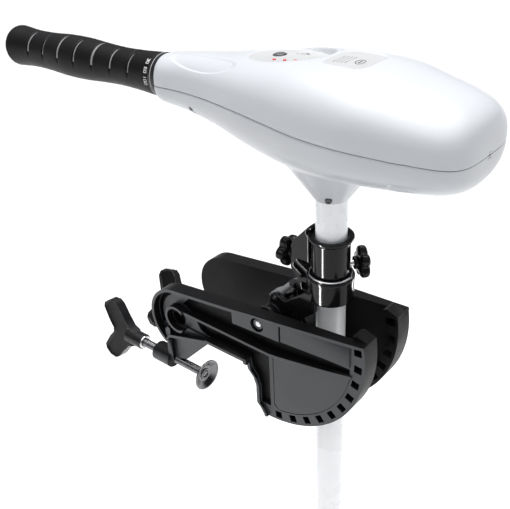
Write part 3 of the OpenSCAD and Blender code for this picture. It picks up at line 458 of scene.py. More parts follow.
def cad_bmesh(node, flat=True):
    """A copy of the CAD node's mesh, joined up; flat merges its triangles into flat faces."""
    bm = bmesh.new()
    bm.from_mesh(nodes[node].data)
    for layer in list(bm.loops.layers.uv.values()):
        bm.loops.layers.uv.remove(layer)
    bmesh.ops.remove_doubles(bm, verts=bm.verts, dist=2e-6)
    if flat:
        bmesh.ops.dissolve_limit(bm, angle_limit=math.radians(0.6), verts=bm.verts, edges=bm.edges)
    return bm


def refine(node, width, looks=None, pick=None):
    """Replaces a CAD node by the same shape with rounded edges; pick(centre, normal) gives a face's look."""
    bm = cad_bmesh(node)
    bevelled(bm, width)
    if pick:
        for face in bm.faces:
            face.material_index = pick(face.calc_center_median() / MM, face.normal)
    settle(from_bmesh(node + "_moulded", bm, looks or [finish[cad_slot[node]]]), node)


def soften(node, voxel, passes, looks=None):
    """Replaces a CAD node by a moulded-looking copy: remeshed and smoothed, so that every edge is round."""
    bm = cad_bmesh(node, flat=False)
    mesh = bpy.data.meshes.new(node + "_cast")
    bm.to_mesh(mesh)
    bm.free()
    for look in looks or [finish[cad_slot[node]]]:
        mesh.materials.append(look)
    obj = bpy.data.objects.new(node + "_cast", mesh)
    bpy.context.scene.collection.objects.link(obj)
    remesh = obj.modifiers.new("remesh", "REMESH")
    remesh.mode = "VOXEL"
    remesh.voxel_size = voxel * MM
    remesh.use_smooth_shade = True
    smooth = obj.modifiers.new("smooth", "SMOOTH")
    smooth.factor = 0.5
    smooth.iterations = passes
    settle(obj, node)


# ---------- head ----------

# sections at even steps from the head's front to the start of its rounded tail
HEAD_FRONT, TAIL_X, TAIL_END, TAIL_Z = -184.0, 90.0, 137.0, 290.0
HALF_WIDTH = [25, 29.3, 37.6, 48.8, 58, 65.4, 67.6, 60]
TOP = [310, 316.7, 322.6, 330, 336.5, 340, 339.6, 333]
BOTTOM = [265.6, 263.7, 259, 252, 247, 247, 251, 255]
SEAM = [285, 288.5, 291.5, 294, 294.4, 294, 294.4, 292.7]
STEP = (TAIL_X - HEAD_FRONT) / (len(HALF_WIDTH) - 1)
TOP_POWER, BOTTOM_POWER, TAIL_POWER = 2.5, 2.3, 4.3     # powers of the sections' superellipses
MOUTH_IN, MOUTH_LENGTH, LIP_R = 3, 10, 1.6              # the front is drawn in a little, with a round lip
TAIL_TURN = 72                                          # degrees round the tail where its spacing changes
TOP_STEPS, BOTTOM_STEPS = 150, 110                      # steps across a section of each cover
SEAM_GAP, SHELL_WALL = 0.22, 2.2

# sunk ovals on the head's top: their centres, radii and powers
PANEL_C, PANEL_R, PANEL_POWER = (-41.0, 0.0), (40.5, 25.0), 2
PANEL_Z, PANEL_SLOPE = 329.5, 0.074
LABEL_C, LABEL_R, LABEL_POWER = (21.0, 0.0), (20.0, 21.6), 5
BADGE_C, BADGE_R, BADGE_TURN = (-122.0, -20.0), (49.0, 8.3), math.radians(-11.8)
BADGE_NORMAL = (0.62, 0.75)                             # Y and Z share of the badge's depth
UPPER_FROM, LOWER_TO = 310, 290                         # heights that bound the sunk shapes
SCREW_SPOTS = [(-132.0, -25.3), (-132.0, 25.3), (89.0, -50.5), (89.0, 50.5)]
SCREW_HOLE_R, SCREW_FLOOR_R, SCREW_DEPTH = 4.2, 2.8, 3.5

# the neck is a straight cone that the belly flares into
NECK_Z, NECK_R, NECK_SLOPE = 217.0, 15.8, 0.69
NECK_OUT, NECK_BLEND = 25.5, 4                          # the flare's inner radius, and how softly it joins
NECK_SCREW_Z, NECK_SCREW_TURN = 6, math.radians(-62.5)

PLATE_LEVELS = (0.15, -0.25)                            # upper and lower face of a plate in its recess
STROKE_LEVELS = (0.2, 0.32)                             # lower and upper face of a printed stroke
BUTTON_C, BUTTON_R = (-55.5, 3.5), 5.0
LAMP_SPOTS = [(-48.9 + 9.3 * i, -12 + 1.7 * i) for i in range(4)]
LAMP_R = 1.5


def curve_at(values, s):
    """Catmull-Rom curve through evenly spaced values."""
    n = len(values)
    i = int(min(max(math.floor(s), 0), n - 2))
    t = s - i
    b, c = values[i], values[i + 1]
    a = values[i - 1] if i > 0 else 2 * b - c
    d = values[i + 2] if i < n - 2 else 2 * c - b
    return b + 0.5 * t * (c - a + t * (2 * a - 5 * b + 4 * c - d + t * (3 * (b - c) + d - a)))


def head_sections():
    """Sections [x, half width, top, bottom, seam] along the head, front to back."""
    rows = []
    for x in np.linspace(HEAD_FRONT, TAIL_X, 250):
        s = (x - HEAD_FRONT) / STEP
        mouth = MOUTH_IN * max(1 - (x - HEAD_FRONT) / MOUTH_LENGTH, 0) ** 2
        lip = LIP_R * (1 - math.sqrt(1 - max(1 - (x - HEAD_FRONT) / LIP_R, 0) ** 2))
        rows.append([x, curve_at(HALF_WIDTH, s) - mouth - lip, curve_at(TOP, s) - lip,
                     curve_at(BOTTOM, s) + lip, curve_at(SEAM, s)])
    last = (TAIL_X - HEAD_FRONT) / STEP
    width_slope, top_slope, bottom_slope = (1.3 * (v[-1] - v[-2]) / STEP for v in (HALF_WIDTH, TOP, BOTTOM))
    knee = math.cos(math.radians(TAIL_TURN)) ** (2 / TAIL_POWER)
    bends = list(np.radians(np.linspace(3, TAIL_TURN, 26)))
    bends += [math.acos(k ** (TAIL_POWER / 2)) for k in np.linspace(knee, 0.04, 18)[1:]]
    for a in bends:
        q, k = math.sin(a) ** (2 / TAIL_POWER), math.cos(a) ** (2 / TAIL_POWER)
        over = (TAIL_END - TAIL_X) * q
        seam = curve_at(SEAM, last) + (TAIL_Z - curve_at(SEAM, last)) * q * q
        width = curve_at(HALF_WIDTH, last) + width_slope * over
        up = curve_at(TOP, last) + top_slope * over - seam
        down = seam - curve_at(BOTTOM, last) - bottom_slope * over
        rows.append([TAIL_X + over, width * k, seam + up * k, seam - down * k, seam])
    return rows


def skin_z(x, y):
    """Height of the head's upper skin, before anything is sunk into it."""
    s = (x - HEAD_FRONT) / STEP
    width, seam = curve_at(HALF_WIDTH, s), curve_at(SEAM, s)
    share = max(1 - min(abs(y) / width, 1) ** TOP_POWER, 0)
    return seam + (curve_at(TOP, s) - seam) * share ** (1 / TOP_POWER)


def smooth_step(low, high, value):
    """0 at low and 1 at high, with a soft start and end."""
    t = min(max((value - low) / (high - low), 0), 1)
    return t * t * (3 - 2 * t)


def inside_oval(x, y, centre, radii, power, turn=0.0):
    """About how far inside an oval's edge a point lies, and its place across the oval, from -1 to 1."""
    dx, dy = x - centre[0], y - centre[1]
    along = dx * math.cos(turn) + dy * math.sin(turn)
    across = -dx * math.sin(turn) + dy * math.cos(turn)
    reach = (abs(along / radii[0]) ** power + abs(across / radii[1]) ** power) ** (1 / power)
    return (1 - reach) * min(radii), across / radii[1]


def panel_plane(x):
    return PANEL_Z + PANEL_SLOPE * (x - PANEL_C[0])


def panel_z(x, y):
    """Floor of the meter's recess."""
    return min(skin_z(x, y), panel_plane(x))


def label_z(x, y):
    """Floor of the rear label's recess."""
    return skin_z(x, y) - 1.0


def sunk_top(point):
    """A point of the upper cover, sunk where the panel, the rear label or the side badge lies."""
    x, y, z = point
    depth, _ = inside_oval(x, y, PANEL_C, PANEL_R, PANEL_POWER)
    if depth > -0.3 and z > UPPER_FROM:
        z += (min(z, panel_plane(x) - 0.3) - z) * smooth_step(-0.3, 1.2, depth)
    depth, _ = inside_oval(x, y, LABEL_C, LABEL_R, LABEL_POWER)
    if depth > -0.2 and z > UPPER_FROM:
        z -= 1.3 * smooth_step(-0.2, 0.9, depth)
    depth, across = inside_oval(x, y, BADGE_C, BADGE_R, 2.3, BADGE_TURN)
    if depth > 0 and z > UPPER_FROM - 10:
        sink = (1.2 - 0.8 * across) * smooth_step(0, 1.3, depth)
        y, z = y + BADGE_NORMAL[0] * sink, z - BADGE_NORMAL[1] * sink
    return [x, y, z]


def sunk_bottom(point):
    """A point of the lower cover, drawn into the neck or sunk into a screw's hole."""
    x, y, z = point
    radius = math.hypot(x, y)
    if radius < 75 and z < LOWER_TO:
        flare = NECK_Z + (max(radius, NECK_OUT) - NECK_R) / NECK_SLOPE
        blend = min(max(0.5 - 0.5 * (flare - z) / NECK_BLEND, 0), 1)
        z = flare * blend + z * (1 - blend) - NECK_BLEND * blend * (1 - blend)
        z += 0.35 * smooth_step(NECK_OUT + 2.5, NECK_OUT + 0.5, radius)
    for spot in SCREW_SPOTS:
        away = math.hypot(x - spot[0], y - spot[1])
        if away < SCREW_HOLE_R and z < LOWER_TO:
            z += SCREW_DEPTH * smooth_step(SCREW_HOLE_R, SCREW_FLOOR_R, away)
    return [x, y, z]


def head_shell(name, upper, node):
    """One half of the head's skin, from its seam over the top or under the belly."""
    power = TOP_POWER if upper else BOTTOM_POWER
    steps = TOP_STEPS if upper else BOTTOM_STEPS
    gap = SEAM_GAP if upper else -SEAM_GAP
    points = []
    for x, width, top, bottom, seam in head_sections():
        rise = (top if upper else bottom) - seam
        row = [[x, width - 1.1, seam + gap], [x, width - 0.35, seam + gap * 1.6]]
        for j in range(1, steps):
            c, s = math.cos(math.pi * j / steps), math.sin(math.pi * j / steps)
            y = width * math.copysign(abs(c) ** (2 / power), c)
            row.append([x, y, seam + gap + (rise - gap) * s ** (2 / power)])
        row += [[x, -row[1][1], row[1][2]], [x, -row[0][1], row[0][2]]]
        points += [(sunk_top if upper else sunk_bottom)(p) for p in row]
    columns = steps + 3
    rows = len(points) // columns
    faces = grid_faces(rows, columns, closed=False)
    faces.append(tuple((rows - 1) * columns + j for j in range(columns)))
    obj = add_mesh(name, points, faces, [finish["head_shell"]], LOCAL)
    wall = obj.modifiers.new("wall", "SOLIDIFY")
    wall.thickness = SHELL_WALL * MM
    wall.offset = -1
    wall.use_even_offset = False
    settle(obj, node)


def oval_plate(name, centre, recess, gap, power, height, node):
    """A thin grey plate on the surface height(x, y) of its recess, for a CAD node, with a gap all round."""
    radii = (recess[0] - gap, recess[1] - gap)
    rings, sides = 10, 96
    plane = []
    for i in range(rings + 1):
        share = max(i / rings, 0.001)
        for a in turns(sides):
            u = radii[0] * share * math.copysign(abs(math.cos(a)) ** (2 / power), math.cos(a))
            v = radii[1] * share * math.copysign(abs(math.sin(a)) ** (2 / power), math.sin(a))
            plane.append((centre[0] + u, centre[1] + v))
    points = [(x, y, height(x, y) + level) for level in PLATE_LEVELS for x, y in plane]
    base, edge = len(plane), rings * sides
    faces = grid_faces(rings + 1, sides)
    faces += [tuple(base + i for i in f[::-1]) for f in grid_faces(rings + 1, sides)]
    for j in range(sides):
        k = (j + 1) % sides
        faces.append((edge + j, edge + k, base + edge + k, base + edge + j))
        faces.append((k, j, base + j, base + k))
    settle(add_mesh(name, points, faces, [finish["label_grey"]], LOCAL, sharp=CRISP), node)


def strip(name, line, width, height, look, beside):
    """A printed stroke along a line of (x, y) points on the surface height(x, y)."""
    low, high = STROKE_LEVELS
    line = [np.array(p, float) for p in line]
    points = []
    for i, here in enumerate(line):
        way = line[min(i + 1, len(line) - 1)] - line[max(i - 1, 0)]
        side = np.array([-way[1], way[0]]) / max(np.linalg.norm(way), 1e-9) * width / 2
        left, right = here + side, here - side
        for (x, y), level in ((left, low), (left, high), (right, high), (right, low)):
            points.append((x, y, height(x, y) + level))
    faces = grid_faces(len(line), 4)
    faces += [(3, 2, 1, 0), tuple(4 * (len(line) - 1) + k for k in range(4))]
    settle(add_mesh(name, points, faces, [look], LOCAL, sharp=SOFT_CRISP), beside=beside)


def oval_line(centre, radii):
    """Points round an oval, with the first one again at the end."""
    return closed([(centre[0] + radii[0] * math.cos(a), centre[1] + radii[1] * math.sin(a))
                   for a in turns(28)])


def build_seam():
    """The dark gasket that shows between the covers."""
    rows = head_sections()
    ring = [(r[0], r[1] - 0.9, r[4]) for r in rows] + [(r[0], -r[1] + 0.9, r[4]) for r in reversed(rows)]
    inner = [(p[0], p[1] * 0.97, p[2]) for p in ring]
    points = [(p[0], p[1], p[2] + h) for h in (-0.7, 0.7) for p in ring]
    points += [(p[0], p[1], p[2] + h) for h in (0.7, -0.7) for p in inner]
    count = len(ring)
    faces = grid_faces(4, count)
    faces += [(3 * count + j, 3 * count + (j + 1) % count, (j + 1) % count, j) for j in range(count)]
    gasket = add_mesh("head_seam_gasket", points, faces, [accent["seam_grey"]], LOCAL, sharp=SOFT_CRISP)
    settle(gasket, beside="lower_cover")


def build_neck():
    """The cone that holds the shaft and dives into the belly's skin at its top, and its clamp screw."""
    cone = [(NECK_Z + h, NECK_R + NECK_SLOPE * h) for h in (0, 3, 6, 9, 12, 15, 17.5)]
    dive = [(NECK_Z + h, NECK_R + NECK_SLOPE * h - dip) for h, dip in ((19.5, 0.15), (21.5, 0.5))]
    neck = filleted([(NECK_Z, 14.5)] + cone, 0.4) + dive + [(236, 27), (217.6, 14.4)]
    lathe("head_neck", neck, finish["head_shell"], LOCAL @ UP, beside="lower_cover")
    turn = Matrix.Translation((0, 0, NECK_Z + NECK_SCREW_Z)) @ Matrix.Rotation(NECK_SCREW_TURN, 4, "Z")
    screw = [(14.5, AXIS), (14.5, 2), (20.3, 2), (20.3, 3.2), (21.4, 3.1), (22.3, 1.9), (21.6, 1.2),
             (21.6, AXIS)]
    lathe("neck_screw_turned", screw, accent["dark_steel"], LOCAL @ turn, "neck_screw", fillet=0.3, sides=32)


def on_panel(spot):
    """The frame of something turned that stands on the meter panel at (x, y)."""
    tilt = Matrix.Rotation(math.atan(-PANEL_SLOPE), 4, "Y")
    return LOCAL @ Matrix.Translation((spot[0], spot[1], panel_plane(spot[0]))) @ tilt @ UP


def build_panel_details():
    """The test button, the lamps and the printed marks."""
    cap = [(-8.5, AXIS), (-8.5, 6.8), (-6.8, 6.8), (-6.8, BUTTON_R), (1.0, BUTTON_R), (1.5, 4.2), (1.1, 2.6),
           (0.9, AXIS)]
    place = on_panel(BUTTON_C)
    lathe("test_button_cap", cap, accent["button_grey"], place, "test_button", fillet=0.4, sides=64)
    rim = [(0.1, BUTTON_R + 0.1), (0.55, BUTTON_R + 0.2), (0.55, BUTTON_R + 0.9), (0.1, BUTTON_R + 1.1)]
    lathe("button_rim", rim, accent["print_dark"], place, beside="meter_panel", sides=64)
    dome = [(-19, AXIS), (-19, LAMP_R), (0.2, LAMP_R)]
    dome += [(0.2 + 1.2 * math.sin(a), LAMP_R * math.cos(a)) for a in np.linspace(0.2, 1.55, 7)]
    for i, spot in enumerate(LAMP_SPOTS):
        look = finish["red_lens"] if i < 3 else accent["lamp_pale"]
        node = None if i else "meter_leds"
        lathe("lamp_%d" % i, dome, look, on_panel(spot), node, "meter_panel", sides=24)
    mark = accent["print_dark"]
    for i, (dx, dy) in enumerate(((0, 0), (1.6, 1.2), (3.2, 0.2))):
        icon = [(-37 + dx, 12.2 + dy), (-36.2 + dx, 14 + dy)]
        strip("panel_icon_%d" % i, icon, 1.2, panel_z, mark, "meter_panel")
    strip("panel_slash", [(-40, 10.6), (-38, 12.8)], 0.5, panel_z, mark, "meter_panel")
    strip("panel_dash", [(-44.6, 11.2), (-42.4, 11.8)], 0.5, panel_z, accent["grey_print_and_groove_highlight"], "meter_panel")
    for i in range(4):
        x = 10.5 + 3.2 * i
        line = [(x, -15 + 0.5 * i), (x + 0.2, 1 + 0.5 * i)]
        strip("label_line_%d" % i, line, 0.55, label_z, accent["grey_print_and_groove_highlight"], "rear_label")
    strip("label_oval", oval_line((29.4, -6.4), (3.4, 5.2)), 0.55, label_z, mark, "rear_label")
    strip("label_oval_bar", [(29.4, -9.4), (29.4, -3.4)], 0.9, label_z, mark, "rear_label")


def build_head():
    head_shell("head_top_shell", True, "top_cover")
    head_shell("head_lower_shell", False, "lower_cover")
    build_seam()
    build_neck()
    oval_plate("meter_face", PANEL_C, PANEL_R, 0.9, PANEL_POWER, panel_z, "meter_panel")
    oval_plate("tail_label", LABEL_C, LABEL_R, 0.8, LABEL_POWER, label_z, "rear_label")
    build_panel_details()


# ---------- tiller and grip ----------

GRIP_END, RING_FRONT = -417.0, -194.0
GRIP_RADIUS = [21.2, 19.2, 19.4, 20.9, 21, 19.4, 18.3, 18.9, 20.6]      # at even steps from its free end
CAP_LENGTH = 4
GROOVE_FIRST, GROOVE_PITCH, GROOVES = RING_FRONT - 29.6, 25.7, 7
UPPER_DEPTH, LOWER_DEPTH = 1.7, 0.9         # the grooves' depths on the grip's top and underside
GROOVE_HIGHLIGHT_HALF, GROOVE_HIGHLIGHT_TO = 1.25, 84             # half width of a groove's painted highlight, and its end in degrees from the top
RING_FRONT_R, RING_SLOPE = 20.6, 0.125

# strokes of the dial's digits in a unit box
DIGITS = {"0": [[(0, 0), (1, 0), (1, 1), (0, 1), (0, 0)]], "1": [[(0.5, 0), (0.5, 1)]],
          "3": [[(0, 1), (1, 1), (1, 0), (0, 0)], [(0.25, 0.5), (1, 0.5)]],
          "6": [[(1, 1), (0, 1), (0, 0), (1, 0), (1, 0.5), (0, 0.5)]]}
DIGIT_TALL, DIGIT_WIDE, DIGIT_STEP = 3.6, 1.9, 3.0
DIGIT_X, LINE_X = -198.9, -189.8            # the digits' lower ends, and the line beside them
DIAL_NUMBERS = (("30", 14.7), ("60", 23.6), ("100", 33.3))      # each with its distance round from the top
STROKE_HALF = 0.27


def grip_radius(x):
    first = GRIP_END + CAP_LENGTH
    share = (x - first) / (RING_FRONT - 0.2 - first)
    return curve_at(GRIP_RADIUS, max(share, 0) * (len(GRIP_RADIUS) - 1))


def from_groove(x):
    """Distance along the grip to the middle of the nearest groove."""
    nearest = min(max(round((GROOVE_FIRST - x) / GROOVE_PITCH), 0), GROOVES - 1)
    return abs(x - (GROOVE_FIRST - GROOVE_PITCH * nearest))


def from_top(degrees):
    """Degrees from the grip's top, either way round."""
    return abs((degrees + 180) % 360 - 180)


def build_grip():
    sides = 128
    cap = [(GRIP_END - 0.45, AXIS), (GRIP_END - 0.4, 8), (GRIP_END - 0.1, 14), (GRIP_END + 0.5, 17.4),
           (GRIP_END + 1.5, 19.4), (GRIP_END + 2.8, 20.7)]
    rows = [(x, r, 0) for x, r in cap]
    rows += [(x, grip_radius(x), 1) for x in np.linspace(GRIP_END + CAP_LENGTH, RING_FRONT - 0.25, 440)]
    rows.append((RING_FRONT - 0.25, 15.5, 0))
    points, marks = [], []
    for x, radius, body in rows:
        off = from_groove(x)
        for a in turns(sides):      # 0 is up, a quarter turn is the near side
            side = from_top(math.degrees(a))
            upper = UPPER_DEPTH * (1 - smooth_step(70, 108, side)) * (1 - smooth_step(0.9, 1.9, off))
            lower = LOWER_DEPTH * smooth_step(140, 165, side) * (1 - smooth_step(0.8, 3.2, off))
            cut = body * (upper + lower)
            points.append((x, -(radius - cut) * math.sin(a), (radius - cut) * math.cos(a)))
    # grooves' floors over the grip's upper side take a painted highlight
    for before, after in zip(rows, rows[1:]):
        painted_highlight = from_groove((before[0] + after[0]) / 2) < GROOVE_HIGHLIGHT_HALF
        marks += [1 if painted_highlight and from_top((j + 0.5) * 360 / sides) < GROOVE_HIGHLIGHT_TO else 0 for j in range(sides)]
    looks = [finish["grip_rubber"], accent["grey_print_and_groove_highlight"]]
    grip = add_mesh("grip_sleeve", points, grid_faces(len(rows), sides), looks, TILLER, marks=marks)
    settle(grip, "grip", "grip_end_cap")
    ring = closed([(RING_FRONT, 15.2), (RING_FRONT, RING_FRONT_R), (HEAD_FRONT - 0.3, 21.8),
                   (HEAD_FRONT - 0.3, 15.2)])
    lathe("dial_ring_turned", ring, finish["black_plastic"], TILLER, "dial_ring", fillet=0.8)
    build_dial_marks()


def on_grip(x, arc, lift):
    """A point on the grip or the ring: arc is the distance round from its top, towards the near side."""
    ring = RING_FRONT_R + (x - RING_FRONT) * RING_SLOPE
    radius = (grip_radius(x) if x < RING_FRONT else ring) + lift
    a = arc / 20.5
    return (x, -radius * math.sin(a), radius * math.cos(a))


def build_dial_marks():
    strokes = []
    for text, middle in DIAL_NUMBERS:
        first = middle - DIGIT_STEP * (len(text) - 1) / 2 - DIGIT_WIDE / 2
        for i, digit in enumerate(text):
            for line in DIGITS[digit]:
                strokes.append([(DIGIT_X + DIGIT_TALL * v, first + DIGIT_STEP * i + DIGIT_WIDE * u)
                                for u, v in line])
    print_strokes("dial_digits", strokes, "grip")
    print_strokes("dial_line", [[(LINE_X, float(arc)) for arc in np.linspace(-4, 38, 30)]], "dial_ring")


def print_strokes(name, strokes, beside):
    """White strokes of (x, arc) points printed on the grip or the dial ring."""
    points, faces = [], []
    box = ((3, 2, 1, 0), (4, 5, 6, 7), (0, 1, 5, 4), (1, 2, 6, 5), (2, 3, 7, 6), (3, 0, 4, 7))
    for line in strokes:
        for start, end in zip(line, line[1:]):
            a, b = np.array(start, float), np.array(end, float)
            way = (b - a) / max(np.linalg.norm(b - a), 1e-9)
            side = np.array([-way[1], way[0]]) * STROKE_HALF
            a, b = a - way * STROKE_HALF * 0.9, b + way * STROKE_HALF * 0.9
            base = len(points)
            for lift in (-0.3, 0.12):
                points += [on_grip(*c, lift) for c in (a + side, b + side, b - side, a - side)]
            faces += [tuple(base + k for k in f) for f in box]
    mesh = add_mesh(name, points, faces, [accent["print_white"]], TILLER, sharp=SOFT_CRISP, merge=False)
    settle(mesh, beside=beside)


# ---------- shaft, hinge and bracket ----------

RING_HIGH, WASHER_HIGH, COLLAR_HIGH = 139.0, 142.0, 179.5
RING_R, COLLAR_R, FLANGE_R = 21.7, 17.6, 20.8
TUBE_LOW, TUBE_HIGH, TUBE_R, TUBE_BORE = -646.0, 268.0, 14.3, 11.3
KNOB_Z, KNOB_R, KNOB_LOBES, LOBE_DEPTH = 147, 15.5, 5, 0.26
TENSION_KNOB_X = 17.9                       # in the part frame
DEPTH_KNOB_TURN = math.radians(50)
RIM_FROM, PANEL_Y_FROM = 116, 36            # where a side plate's outer rim and outer faces start


def knob(name, place, cad_node, thick=10.0):
    """A thumb knob with rounded lobes round a dished face, its axis along +X."""
    profile = [(-3, 6.1, 0), (-0.4, 6.1, 0), (0, 7.5, 0.2), (0.2, 10.5, 0.8), (0.6, 13.2, 1), (1.6, 14.9, 1),
               (3, 15.4, 1), (thick / 2, KNOB_R, 1), (thick - 3, 15.4, 1), (thick - 1.4, 14.8, 1),
               (thick - 0.3, 13.2, 1), (thick, 11.2, 0.9), (thick - 0.4, 9.4, 0.6), (thick - 1.4, 7.6, 0.2),
               (thick - 1.8, 5.5, 0), (thick - 1.4, 2.5, 0), (thick - 1.4, AXIS, 0)]
    sides = 120
    points = []
    for along, radius, share in profile:
        for a in turns(sides):
            notch = LOBE_DEPTH * share * (0.5 - 0.5 * math.cos(KNOB_LOBES * a)) ** 1.5
            points.append(ring_point(along, radius * (1 - notch), a))
    piece = add_mesh(name, points, grid_faces(len(profile), sides), [accent["hinge_black"]], place)
    settle(piece, cad_node)


def build_hinge():
    """The shaft, its collar and knobs, the carrier with its lever and latch, and the pivot bolt."""
    upright, gloss, steel = LOCAL @ UP, accent["hinge_black"], finish["steel"]
    tube = [(TUBE_LOW, TUBE_BORE), (TUBE_LOW, TUBE_R), (TUBE_HIGH, TUBE_R), (TUBE_HIGH, TUBE_BORE)]
    lathe("shaft_tube_turned", closed(tube), finish["shaft_composite"], upright, "shaft_tube", fillet=0.4,
          sides=128)
    collar = [(WASHER_HIGH, 14.45), (WASHER_HIGH, COLLAR_R)]
    collar += shifted(COLLAR_HIGH, [(-5, COLLAR_R), (-3.2, FLANGE_R - 0.6), (-2.4, FLANGE_R), (0, FLANGE_R),
                                    (0, 16.4), (-1.4, 14.9), (-1.4, 14.45)])
    lathe("collar_turned", closed(collar), gloss, upright, "depth_collar", fillet=0.9, sides=128)
    washer = shifted(RING_HIGH, [(0.1, 14.5), (0.1, RING_R - 0.3), (0.9, RING_R - 0.3), (1.3, 19.2)])
    washer += [(WASHER_HIGH - 0.1, 19.2), (WASHER_HIGH - 0.1, 14.5)]
    lathe("collar_washer_turned", closed(washer), gloss, upright, "collar_washer", fillet=0.25)
    bright = shifted(RING_HIGH, [(1.2, 19.3), (1.2, 20.6), (1.9, 20.9), (2.6, 20.2), (2.6, 19.3)])
    lathe("bright_ring", closed(bright), steel, upright, beside="collar_washer", fillet=0.3)
    lip = shifted(RING_HIGH, [(-4.6, 21.4), (-4.2, 22.1), (-0.5, 22.1), (0, 21.5), (0, 17.5)])
    lathe("ring_lip", closed(lip), gloss, upright, beside="carrier", fillet=0.4)
    place = Matrix.Translation((TENSION_KNOB_X, 0, KNOB_Z)) @ Matrix.Rotation(math.pi, 4, "Z")
    knob("tension_knob_lobed", place, "tension_knob")
    place = Matrix.Translation((SHAFT_X, 0, KNOB_Z)) @ Matrix.Rotation(DEPTH_KNOB_TURN, 4, "Z")
    knob("depth_knob_lobed", place @ Matrix.Translation((COLLAR_R + 7, 0, 0)), "depth_knob", thick=9.5)
    soften("carrier", 0.7, 4, [gloss])
    refine("tilt_lever", 0.5)
    for name in ("latch_rod", "latch_bar"):
        refine(name, 0.4, [accent["dark_steel"]])
    swing = Matrix.Translation((PIVOT_X, 0, PIVOT_Z)) @ Matrix.Rotation(math.radians(90), 4, "Z")
    bolt = [(46, AXIS), (46, 5), (-40.5, 5), (-40.5, 6), (-42.6, 6), (-43.4, 5.2), (-42.6, 3.6),
            (-42.6, AXIS)]
    lathe("pivot_bolt_turned", bolt, accent["dark_steel"], swing, "pivot_bolt", fillet=0.3, sides=64)
    tip = [(-42.5, AXIS), (-42.5, 3.5), (-43.1, 3.3), (-43.45, 2.4), (-43.2, 1.4), (-43.2, AXIS)]
    lathe("pivot_bolt_tip", tip, steel, swing, beside="pivot_bolt", fillet=0.2, sides=48)


def plate_painted_shade(centre, normal):
    """1, the near-black copy that paints shade, on a plate's inner side, pocket floors, top and outer rim; 0
    elsewhere.
    """
    rim = math.hypot(centre.x - PIVOT_X, centre.z - PIVOT_Z) > RIM_FROM and abs(normal.y) < 0.5
    return 1 if abs(centre.y) < PANEL_Y_FROM or normal.z > 0.6 or rim else 0


# ---------- clamps ----------

CLAMP_Y, CLAMP_Z, HUB_FACE, PAD_FACE = 38.0, -21.5, -171.0, -72.0
THREAD_R, THREAD_PITCH, THREAD_DEPTH = 4.75, 1.5875, 0.62
ROWS_A_TURN = 8                             # rows of points to a turn of the thread
TIP_R, TIP_BEVEL_R = 3.9, 3.2
WING_FACE_AREA, WING_RIM, WING_SUNK = 900, 2.6, 2.2     # square millimetres, then millimetres


def clamp_thread(name, place, cad_node):
    """A clamp screw with a helical thread."""
    start, end, sides = HUB_FACE - 12, PAD_FACE - 8.1, 32
    points = []
    rows = int((end - start) / (THREAD_PITCH / ROWS_A_TURN)) + 1
    for i in range(rows):
        x = start + (end - start) * i / (rows - 1)
        for j, a in enumerate(turns(sides)):
            phase = (x / THREAD_PITCH - j / sides) % 1
            cut = THREAD_DEPTH * min(max(abs(phase * 2 - 1) * 1.5 - 0.25, 0), 1)
            points.append(ring_point(x, THREAD_R - cut, a))
    tip = [(end, TIP_R), (PAD_FACE - 4.2, TIP_R), (PAD_FACE - 3.6, TIP_BEVEL_R), (PAD_FACE - 3.5, AXIS)]
    points += [ring_point(x, radius, a) for x, radius in tip for a in turns(sides)]
    rows += len(tip)
    faces = grid_faces(rows, sides) + [tuple(range(sides - 1, -1, -1))]
    settle(add_mesh(name, points, faces, [accent["thread_steel"]], place), cad_node)


def clamp_wings(node):
    """Replaces a clamp handle by one with sunk faces in painted shade inside rounded rims, lightened for wear
    and a painted highlight.
    """
    bm = cad_bmesh(node)
    broad = [face for face in bm.faces if face.calc_area() > WING_FACE_AREA * MM * MM]
    bmesh.ops.inset_individual(bm, faces=broad, thickness=WING_RIM * MM, depth=-WING_SUNK * MM)
    for face in broad:
        face.material_index = 1
    bevelled(bm, 0.7)
    settle(from_bmesh(node + "_moulded", bm, [accent["handle_black"], accent["painted_shade_black"]]), node)


def build_clamps():
    """Each clamp's screw, handle, bright hub ring and dished pad."""
    for side, y in (("near", -CLAMP_Y), ("far", CLAMP_Y)):
        place = Matrix.Translation((0, y, CLAMP_Z))
        clamp_thread(side + "_thread", place, side + "_clamp_screw")
        handle = side + "_clamp_handle"
        clamp_wings(handle)
        ring = shifted(HUB_FACE, [(0.1, 5), (0.1, 7.6), (1.2, 8), (2.4, 7.4), (2.4, 5)])
        lathe(side + "_hub_ring", closed(ring), finish["steel"], place, beside=handle, fillet=0.4, sides=48)
        dish = shifted(PAD_FACE, [(-8, 4.05), (-8, 8), (-6.5, 9), (-1.5, 17), (0, 17), (0, 15.5), (-4.5, 9),
                                  (-4.5, 6), (-3, 6), (-3, 4.05)])
        lathe(side + "_pad_dish", closed(filleted(dish, 0.5)), accent["thread_steel"], place,
              side + "_clamp_pad")


# ---------- lower unit ----------

POD_Z, POD_R, POD_FRONT, POD_BACK = -690.0, 46.0, -85.0, 95.0
HUB_X, PROP_R = 132.0, 137.0
NOSE_LENGTH, NOSE_BLUNT = 80, 0.75
BLADE_ROOT_R, BLADE_MIDDLE = 24, 22         # the blade's root radius, and its place along the hub
BLADE_STATIONS, BLADE_STEPS = 36, 16


